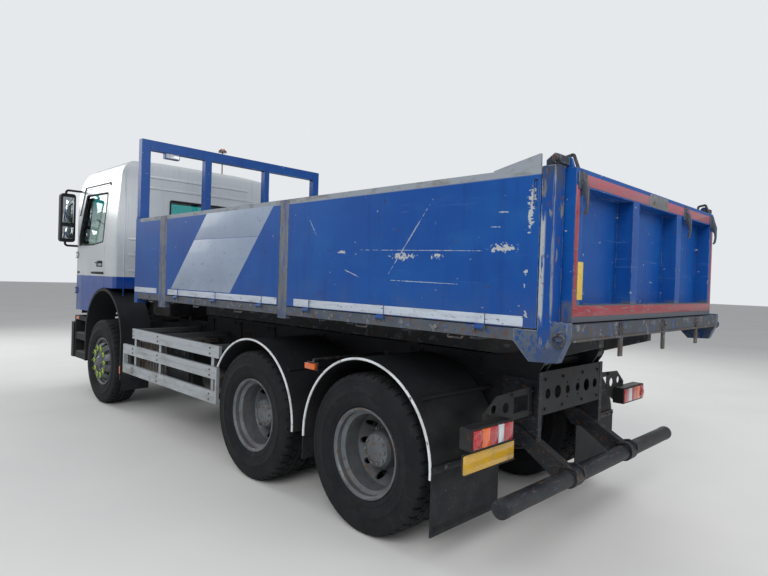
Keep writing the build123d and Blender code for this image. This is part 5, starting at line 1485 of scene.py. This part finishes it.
def frontOfCab(y, z):
    s = cabShape
    bend, (cornerFrom, cornerFall), (footX, footZ) = s["frontBend"], s["corner"], s["rakeFoot"]
    plan = s["frontX"] - (bend - math.sqrt(bend**2 - y * y)) - cornerFall * max(0, abs(y) - cornerFrom)
    return min(plan, footX - s["rake"] * max(0, z - footZ), s["frontMost"])


def sideOfCab(x, z):
    s = cabShape
    (leanFrom, lean), (noseFrom, noseFall) = s["lean"], s["nose"]
    return min(s["side"] - lean * max(0, z - leanFrom), s["side"] - noseFall * max(0, x - noseFrom))


def overCabFront(name, ys, zs, out, wall):
    # a thin panel that follows the cab's front
    deselectAll()
    bpy.ops.mesh.primitive_grid_add(x_subdivisions=26, y_subdivisions=8, size=1)
    piece = bpy.context.object
    piece.name = name
    for vertex in piece.data.vertices:
        y = ys[0] + (ys[1] - ys[0]) * (vertex.co.x + 0.5)
        z = zs[0] + (zs[1] - zs[0]) * (vertex.co.y + 0.5)
        vertex.co = (rearAxleX + 6.6, y, z)
    aim = {"use_project_x": True, "use_negative_direction": True, "use_positive_direction": False}
    useModifier(piece, "SHRINKWRAP", target=nodes["cab_shell"], offset=out, wrap_method="PROJECT", **aim)
    for vertex in piece.data.vertices:
        vertex.co.x -= rearAxleX
    useModifier(piece, "SOLIDIFY", thickness=wall, offset=0)
    return mendNormals(piece)


sealSettings = {
    # each seal's route, its radius and the length of its rounded corners
    "screen": [
        (-0.2, 2.02), (-0.6, 2.02), (-0.94, 2.02), (-0.905, 2.80), (-0.45, 2.80), (0.0, 2.80), (0.45, 2.80),
        (0.905, 2.80), (0.94, 2.02), (0.5, 2.02), (-0.2, 2.02),
    ],
    "screenShape": (0.011, 0.05),
    "screenOut": -0.004,
    "rear": [(0, 2.29), (-0.45, 2.29), (-0.45, 2.64), (0.45, 2.64), (0.45, 2.29), (0, 2.29)],
    "rearX": 4.650,
    "rearShape": (0.012, 0.045),
    "door": [
        (5.70, 2.03), (5.985, 2.03), (5.992, 2.15), (5.862, 2.722), (5.062, 2.70), (5.062, 2.062), (5.40, 2.03),
        (5.70, 2.03),
    ],
    "doorShape": (0.010, 0.035),
    "doorOut": -0.003,
    "drip": [(4.99, 2.80), (4.99, 2.825), (5.93, 2.835), (6.05, 2.45)],
    "dripShape": (0.007, 0.03),
    "dripOut": 0.004,
}
s = sealSettings
screenRoute = [(frontOfCab(y, z) + s["screenOut"], y, z) for y, z in s["screen"]]
screenSeal = bentRod("seal", screenRoute, *s["screenShape"])
fitPiece("windscreen_seal", [screenSeal], "epdmRubber", "cab")
rearSeal = bentRod("seal", [(s["rearX"], y, z) for y, z in s["rear"]], *s["rearShape"])
fitPiece("rear_window_seal", [rearSeal], "epdmRubber", "cab")
doorRoute = [(x, sideOfCab(x, z) + s["doorOut"], z) for x, z in s["door"]]
doorSeal = bentRod("seal", doorRoute, *s["doorShape"])
fitPair("door_window_seal", [doorSeal], "epdmRubber", "door_{side}_body")
dripRoute = [(x, sideOfCab(x, z) + s["dripOut"], z) for x, z in s["drip"]]
drip = bentRod("drip", dripRoute, *s["dripShape"])
fitPair("drip_rail", [drip], "blackPolypropylene", "cab")

# door furniture: a moulded pocket with a pull bar across it, its lock, and the strip above the blue
handleSettings = {
    "pocket": ((5.055, 1.140, 1.735), (5.245, 1.157, 1.815), 0.007, 3),
    "dish": (0.012, -0.008),
    "pull": ((5.075, 1.150, 1.788), (5.225, 1.150, 1.788), (0, 0.026, 0)),
    "pullShape": (0.009, 0.015),
    "lock": ((5.235, 1.15, 1.752), (5.235, 1.160, 1.752), 0.010, 16, 0.001),
    "strip": ((5.005, 1.147, 1.640), (6.06, 1.158, 1.672), 0.004),
    "stripZ": 1.65,
}
s = handleSettings
pocket = slab("pocket", *s["pocket"])
shapeFaces(pocket, looking(outward), *s["dish"])
handle = [pocket, bentRod("pull", bow(*s["pull"]), *s["pullShape"]), rod("lock", *s["lock"])]
fitPair("door_handle", handle, "blackPolypropylene", "door_{side}_body")
strip = slab("strip", *s["strip"])
for vertex in strip.data.vertices:
    vertex.co.y += sideOfCab(vertex.co.x, s["stripZ"]) - cabShape["side"]
fitPair("door_rub_strip", [strip], "blackPolypropylene", "door_{side}_body")

mirrorSettings = {
    "x": 6.0655,
    "panes": (((1.196, 2.335), (1.346, 2.705)), ((1.196, 2.115), (1.346, 2.295))),
    "paneWall": (-0.003, 0.001),
    "corner": 0.018,
    "bezelShape": (0.006, 0.02),
    "bezelEnds": (0.05, 0.06),
    "divider": ((6.062, 1.185, 2.303), (6.075, 1.356, 2.327), 0.003),
}
s = mirrorSettings
panes = [sheetAcrossX("pane", s["x"], cutCorners(*pane, s["corner"]), *s["paneWall"]) for pane in s["panes"]]
fitPair("mirror_glass", panes, "silveredGlass", "cab")
bezel = []
for (y0, z0), (y1, z1) in s["panes"]:
    first, last = s["bezelEnds"]
    route = ((y0 + first, z0), (y1, z0), (y1, z1), (y0, z1), (y0, z0), (y0 + last, z0))
    bezel.append(bentRod("bezel", [(s["x"], y, z) for y, z in route], *s["bezelShape"]))
bezel.append(slab("divider", *s["divider"]))
fitPair("mirror_bezel", bezel, "blackPolypropylene", "cab")

# wipers: an arm from its spindle, and the blade; distances along y are counted from the spindle
wiperSettings = {
    "spindles": (-0.52, 0.22),
    "skinZ": 1.95,
    "footZ": 1.955,
    "out": 0.016,
    "spindle": (-0.03, 0.008),
    "spindleShape": (0.018, 16, 0.004),
    "elbow": (0.012, 0.06, 2.02),
    "tip": (0.36, 2.30),
    "tipOut": 0.026,
    "armShape": (0.0075, 0.03),
    "blade": ((0.08, 2.12), (0.60, 2.44)),
    "bladeBow": (0.008, 0, 0),
    "bladeShape": (0.008, 0.05),
}
s = wiperSettings
wipers = []
for y in s["spindles"]:
    footX = frontOfCab(y, s["skinZ"]) + s["out"]
    (elbowX, elbowY, elbowZ), (tipY, tipZ) = s["elbow"], s["tip"]
    tipX = frontOfCab(y + tipY, tipZ) + s["tipOut"]
    arm = [(footX, y, s["footZ"]), (footX + elbowX, y + elbowY, elbowZ), (tipX, y + tipY, tipZ)]
    ends = [Vector((frontOfCab(y + along, z) + s["out"], y + along, z)) for along, z in s["blade"]]
    middle = (ends[0] + ends[1]) / 2 + Vector(s["bladeBow"])
    spindle = [(footX + along, y, s["footZ"]) for along in s["spindle"]]
    wipers.append(rod("spindle", *spindle, *s["spindleShape"]))
    wipers.append(bentRod("arm", arm, *s["armShape"]))
    wipers.append(bentRod("blade", [ends[0], middle, ends[1]], *s["bladeShape"]))
fitPiece("wipers", wipers, "epdmRubber", "cab")

# panels laid on the cab: scuttle, net behind the grille, roof hatch, and swages and seams of its rear wall
panelSettings = {
    "scuttle": ((-0.97, 0.97), (1.85, 1.995), 0.004, 0.008),
    "net": ((-0.74, 0.74), (1.165, 1.745), 0.003, 0.005),
    "hatch": ((4.93, -0.34, 3.118), (5.40, 0.34, 3.148), 0.012, 3),
    "hatchStep": (0.035, 0.005),
    "swages": ((1.70, 0.98), (1.90, 0.98), (2.10, 0.98), (2.78, 0.80), (2.92, 0.72)),
    "swageHalf": 0.018,
    "swageEdge": (0.006, 3),
    "seams": (-1.03, 1.03),
    "seamHalf": 0.006,
    "seamZ": (1.16, 2.98),
    "seamSunk": 0.001,
    "seamEdge": (0.003, 2),
    "rearX": (4.643, 4.655),
}
s = panelSettings
fitPiece("scuttle", [overCabFront("scuttle", *s["scuttle"])], "blackPolypropylene", "cab")
fitPiece("grille_net", [overCabFront("net", *s["net"])], "grilleNet", "cab")
hatch = slab("hatch", *s["hatch"])
shapeFaces(hatch, looking(upwards), *s["hatchStep"])
fitPiece("hatch", [hatch], "blackPolypropylene", "cab")
x0, x1 = s["rearX"]
rearWall = []
for z, half in s["swages"]:
    low, high = (x0, -half, z - s["swageHalf"]), (x1, half, z + s["swageHalf"])
    rearWall.append(slab("swage", low, high, *s["swageEdge"]))
for y in s["seams"]:
    low = (x0 + s["seamSunk"], y - s["seamHalf"], s["seamZ"][0])
    high = (x1, y + s["seamHalf"], s["seamZ"][1])
    rearWall.append(slab("seam", low, high, *s["seamEdge"]))
fitPiece("cab_rear_swages", rearWall, "cabEnamel", "cab")

print("steps, lamps and front plate")
stepSettings = {
    "x": (5.640, 6.010),
    "outer": 1.144,
    "levels": ((0.541, 0.945), (0.801, 0.975)),
    "wall": 0.012,
    "teeth": 7,
    "toothHalf": 0.004,
    "toothZ": (0.010, 0.019),
    "inset": 0.012,
    "margin": 0.02,
    "edge": 0.002,
}
s = stepSettings
x0, x1 = s["x"]
treads = []
for z, inner in s["levels"]:
    treads.append(slab("tread", (x0, inner, z), (x1, s["outer"], z + s["wall"]), s["edge"]))
    pitch = (s["outer"] - inner - 2 * s["margin"]) / (s["teeth"] - 1)
    for index in range(s["teeth"]):
        y = inner + s["margin"] + index * pitch
        low = (x0 + s["inset"], y - s["toothHalf"], z + s["toothZ"][0])
        high = (x1 - s["inset"], y + s["toothHalf"], z + s["toothZ"][1])
        treads.append(slab("tooth", low, high, s["edge"]))
fitPair("step_treads", treads, "anodisedAluminium", "chassis")

frontLampSettings = {
    "side": ((5.885, 1.145, 1.002), (5.985, 1.158, 1.040), 0.004, 3),
    "sideDish": (0.006, 0.002),
    "leg": ((4.322, 1.160, 0.455), (4.343, 1.1705, 0.545), 0.002),
    # headlamp bowls under the clear cover: x, y and turn, following the bumper's corner
    "bowls": ((6.3665, 0.785, -86.6), (6.352, 0.915, -81.4)),
    "bowlZ": 0.705,
    "bowl": [
        (0.0001, -0.004), (0.02, -0.003), (0.048, 0.0005), (0.060, 0.006), (0.066, 0.006), (0.068, -0.004),
    ],
    "fog": [(0.0001, 0.002), (0.03, 0.004), (0.044, 0.001), (0.046, -0.012), (0.0001, -0.012)],
    "fogPlace": (6.366, 0.60, 0.60),
    "plateBack": ((6.372, -0.27, 0.655), (6.3868, 0.27, 0.786), 0.004),
    "feet": [((6.30, y - 0.012, 0.50), (6.378, y + 0.012, 0.56), 0.004) for y in (-0.36, 0.36)],
}
s = frontLampSettings
sideLamp = slab("sideLamp", *s["side"])
shapeFaces(sideLamp, looking(outward), *s["sideDish"])
reflectors = [sideLamp, slab("leg", *s["leg"])]
fitPair("front_side_reflectors", reflectors, "amberPolycarbonate", "chassis")
bowls = [turned("bowl", s["bowl"], 40, (x, y, s["bowlZ"]), (turn, "Z")) for x, y, turn in s["bowls"]]
fitPair("headlamp_bowls", bowls, "clearRibbedPolycarbonate", "chassis")
fog = turned("fog", s["fog"], 32, s["fogPlace"], (-90, "Z"))
fitPair("fog_lamps", [fog], "clearRibbedPolycarbonate", "chassis")
p = plateSettings
frontPlate = sheetAcrossX("plate", p["frontX"], cutCorners(*p["front"], p["corner"]), p["thick"], p["edge"])
fitPiece("number_plate_front", [frontPlate], "whiteAcrylicPlate", "chassis")
frontBits = [slab("bit", *box) for box in (s["plateBack"], *s["feet"])]
fitPiece("front_plate_holder", frontBits, "blackPolypropylene", "chassis")

print("frame and axle fittings")
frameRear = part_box("chassis_frame")[0].x - rearAxleX - 0.0005
bracketX = lampFace + 0.0785  # rear face of the lamp brackets
boltSettings = {
    # rows on the frame: middles along x, spacings about each, y, heights and the way that heads point
    "frame": [
        ((frameRear,), (0,), (0.145, 0.385), (0.868, 1.062), rearward),
        ((-0.33, 1.90, 2.70, 3.70), (-0.045, 0.045), (0.426,), (0.88, 0.94, 1.05), outward),
        ((4.15, 5.75), (-0.05, 0, 0.05), (0.5325,), (0.76, 0.95), outward),
        ((0.675,), (-0.11, -0.04, 0.04, 0.11), (0.5325,), (0.88, 0.99), outward),
        ((-0.30, 0.25, 1.45, 2.25, 2.90, 3.50), (-0.045, 0.045), (0.4355,), (1.145,), outward),
        ((bracketX,), (0,), (0.475,), (0.99, 0.85), rearward),
        ((bracketX,), (0,), (0.70,), (0.99,), rearward),
        ((bracketX,), (0,), (0.955,), (0.905,), rearward),
        ((-0.79, -0.70, -0.61), (0,), (0.4375,), (0.88, 1.02), outward),
    ],
    "planks": [((2.03, 3.14, 3.78), (0,), (1.2352,), (0.965, 1.015, 0.770, 0.820, 0.550, 0.600), outward)],
    "raves": [((-0.62, 0.30, 1.50, 2.32, 3.35), (0,), (1.2502,), (1.424,), outward)],
}


def boltRows(rows, size=1.0):
    bolts = []
    for middles, spacings, ys, heights, way in rows:
        places = [(x + along, y, z) for x in middles for along in spacings for y in ys for z in heights]
        bolts += boltsAt(places, way, size)
    return bolts


fitPair("frame_bolts", boltRows(boltSettings["frame"]), "chassisEnamel", "chassis")
fitPair("plank_bolts", boltRows(boltSettings["planks"], 0.8), "zincPlatedSteel", "chassis")
fitPair("rave_bolts", boltRows(boltSettings["raves"], 1.3), "zincPlatedSteel", "tipping_body")

springSettings = {
    "inner": 0.444,
    "outer": 0.536,
    # U-bolts over the front springs and clips round the leaves: x, feet, height, radius and bend
    "clamps": (
        (4.89, 0.49, 0.186, 0.009, 0.02), (5.01, 0.49, 0.186, 0.009, 0.02), (4.50, 0.60, 0.09, 0.006, 0.012),
        (5.40, 0.60, 0.09, 0.006, 0.012), (0.37, 0.735, 0.1, 0.006, 0.012), (0.98, 0.735, 0.1, 0.006, 0.012),
    ),
}
s = springSettings
clamps = []
for x, foot, rise, *shape in s["clamps"]:
    clamps.append(bentRod("clamp", bow((x, s["inner"], foot), (x, s["outer"], foot), (0, 0, rise)), *shape))
fitPair("spring_clamps", clamps, "forgedSteel", "chassis")

# clamp bands round the brake chambers, with an air port each
brakeSettings = {
    "band": [(0.069, -0.008), (0.076, -0.008), (0.078, 0), (0.076, 0.008), (0.069, 0.008)],
    "along": (-0.175, -0.115),
    "y": 0.33,
    "z": 0.59,
    "port": ((-0.145, 0.33, 0.65), (-0.145, 0.33, 0.685)),
    "portShape": (0.012, 12, 0.002),
}
s = brakeSettings
for place in ("rear", "middle"):
    x = wheelSettings[place]["x"]
    bands = [turned("band", s["band"], 32, (x + along, s["y"], s["z"]), (90, "Z")) for along in s["along"]]
    bands.append(rod("port", *moved(s["port"], (x, 0, 0)), *s["portShape"]))
    fitPair("brake_bands_" + place, bands, "zincPlatedSteel", "chassis")

underrunSettings = {
    # clips that hold the tube in its arms, as (x, z), and the dished caps in its ends
    "clip": ((-1.140, 0.50), (-1.128, 0.545), (-1.07, 0.562), (-1.012, 0.545), (-1.0, 0.50)),
    "clipY": (0.375, 0.475),
    "clipShape": (0.008, 0.02),
    "cap": [(0.0001, 0), (0.040, 0), (0.050, -0.003), (0.054, -0.012), (0.0545, -0.05), (0.0001, -0.05)],
    "capPlace": (-1.07, 1.2265, 0.49),
}
s = underrunSettings
clips = [bentRod("clip", [(x, y, z) for x, z in s["clip"]], *s["clipShape"]) for y in s["clipY"]]
fitPair("underrun_saddles", clips, "forgedSteel", "chassis")
fitPair("underrun_end", [turned("cap", s["cap"], 40, s["capPlace"])], "underrunSteel", "chassis")

tankSettings = {
    # fuel cap with its grip bar, and the catches on the battery box
    "cap": [
        (0.0001, 0), (0.058, 0), (0.060, 0.006), (0.060, 0.022), (0.054, 0.030), (0.030, 0.032),
        (0.0001, 0.032),
    ],
    "capPlace": (3.40, -1.01, 0.972),
    "bar": ((3.35, -1.018, 1.000), (3.45, -1.002, 1.014), 0.004),
    "catches": (2.70, 2.86, 3.02),
    "catch": ((-0.018, 1.136, 0.860), (0.018, 1.146, 0.925)),
    "catchEdge": 0.003,
    "pin": ((-0.022, 1.143, 0.868), (0.022, 1.143, 0.868)),
    "pinShape": (0.006, 12, 0.001),
}
s = tankSettings
fuelCap = [turned("cap", s["cap"], 36, s["capPlace"], (90, "X")), slab("bar", *s["bar"])]
fitPiece("fuel_cap", fuelCap, "blackPolypropylene", "chassis")
catches = []
for x in s["catches"]:
    catches.append(slab("catch", *moved(s["catch"], (x, 0, 0)), s["catchEdge"]))
    catches.append(rod("pin", *moved(s["pin"], (x, 0, 0)), *s["pinShape"]))
fitPiece("battery_catches", catches, "epdmRubber", "chassis")

print("body fittings")
bodySettings = {
    # weld beads across the floor plates and along both sides
    "weldZ": 1.4905,
    "weldX": (-0.22, 0.99, 2.20),
    "weldY": (-1.196, 1.196),
    "weldReach": ((-1.27, 3.69), 1.195),
    "weldShape": (0.0035, 8),
    # upright stiffeners of the headboard, and the rail across them
    "stiffeners": [((3.738, y - 0.04, 1.50), (3.765, y + 0.04, 2.29)) for y in (-0.80, -0.03, 0.83)]
    + [((3.738, -1.16, 1.86), (3.762, 1.16, 1.92))],
    "stiffenerEdge": 0.006,
    "workLamp": ((3.662, 0.808, 2.992), (3.674, 0.962, 3.044), 0.003),
    "workDish": (0.008, -0.003),
    # rope cleats under the raves
    "cleats": (-0.75, 0.02, 1.55, 2.30, 3.30),
    "cleat": ((-0.05, 1.232, 1.395), (0.05, 1.232, 1.395)),
    "cleatDrop": (0, 0.013, -0.023),
    "cleatShape": (0.006, 0.018),
}
s = bodySettings
(rearX, frontX), reachY = s["weldReach"]
runs = [((x, -reachY, s["weldZ"]), (x, reachY, s["weldZ"])) for x in s["weldX"]]
runs += [((rearX, y, s["weldZ"]), (frontX, y, s["weldZ"])) for y in s["weldY"]]
welds = [rod("weld", *run, *s["weldShape"]) for run in runs]
fitPiece("floor_welds", welds, "bedSteel", "tipping_body")
stiffeners = [slab("stiffener", *box, s["stiffenerEdge"]) for box in s["stiffeners"]]
fitPiece("headboard_stiffeners", stiffeners, "blueEnamel", "tipping_body")
workLamp = slab("lamp", *s["workLamp"])
shapeFaces(workLamp, looking(rearward), *s["workDish"])
fitPiece("workLamp", [workLamp], "clearRibbedPolycarbonate", "tipping_body")
routes = [bow(*moved(s["cleat"], (x, 0, 0)), s["cleatDrop"]) for x in s["cleats"]]
cleats = [bentRod("cleat", route, *s["cleatShape"]) for route in routes]
fitPair("rope_cleats", cleats, "forgedSteel", "tipping_body")

print("seats")
seatSettings = {
    "voxel": 0.009,
    "edge": 0.032,
    "pressure": 4,
    "steps": 20,
    "swell": 0.012,  # furthest that the filling may push the cover out
    "channel": (0.03, 0.014),  # half width and depth of a sewn channel
    # each pad: its corners, its channels as (axis, place), and the axis that it is thin along
    "pads": {
        "seat_cushion": ((4.880, 0.378, 1.725), (5.380, 0.862, 1.852), ((1, 0.47), (1, 0.77), (0, 5.25)), 2),
        "seat_back": ((4.795, 0.392, 1.812), (4.905, 0.848, 2.330), ((1, 0.48), (1, 0.76), (2, 2.16)), 0),
        "seat_head": ((4.808, 0.485, 2.352), (4.900, 0.755, 2.490), ((2, 2.42),), 0),
    },
    "posts": [((4.852, y, 2.30), (4.852, y, 2.38), 0.006, 12) for y in (0.57, 0.67)],
    "hinge": (4.850, 0.62, 1.8103),
    "lean": -8,
}


def pad(name, low, high, channels, axis):
    # cover of a foam pad: swelled by cloth pressure, then drawn in along its sewn channels
    s = seatSettings
    piece = slab(name, low, high, s["edge"], 4)
    useModifier(piece, "REMESH", mode="VOXEL", voxel_size=s["voxel"])
    before = [vertex.co.copy() for vertex in piece.data.vertices]
    activate(piece)
    cover = piece.modifiers.new("cloth", "CLOTH")
    cover.settings.use_pressure = True
    cover.settings.uniform_pressure_force = s["pressure"]
    cover.settings.effector_weights.gravity = 0
    for step in range(1, s["steps"] + 1):
        bpy.context.scene.frame_set(step)
    bpy.ops.object.modifier_apply(modifier=cover.name)
    bpy.context.scene.frame_set(1)
    for vertex, start in zip(piece.data.vertices, before):
        push = vertex.co - start
        if push.length > s["swell"]:
            vertex.co = start + push.normalized() * s["swell"]
    middle = (Vector(low) + Vector(high)) / 2
    half = (Vector(high) - Vector(low)) / 2
    wide, deep = s["channel"]
    for vertex in piece.data.vertices:
        for along, place in channels:
            gap = abs(vertex.co[along] - place)
            if gap < wide:
                away = 1 if vertex.co[axis] > middle[axis] else -1
                flat = abs(vertex.co[axis] - middle[axis]) / half[axis]
                vertex.co[axis] -= away * deep * (1 - gap / wide) ** 2 * min(1, flat)
    useModifier(piece, "SUBSURF", levels=1, render_levels=1)
    return piece


s = seatSettings
posts = joinAll("head_posts", [rod("post", *post) for post in s["posts"]])
hinge = Matrix.Translation(s["hinge"])
leaning = hinge @ Matrix.Rotation(math.radians(s["lean"]), 4, "Y") @ hinge.inverted()
for name, (low, high, channels, axis) in s["pads"].items():
    piece = pad(name, low, high, channels, axis)
    if name != "seat_cushion":
        piece.data.transform(leaning)
    for padded in fitPair(name, [piece], "wovenPolyester", "cab", 80).values():
        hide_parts("seats")
posts.data.transform(leaning)
fitPair("head_posts", [posts], "zincPlatedSteel", "cab")

discard(boltModel)
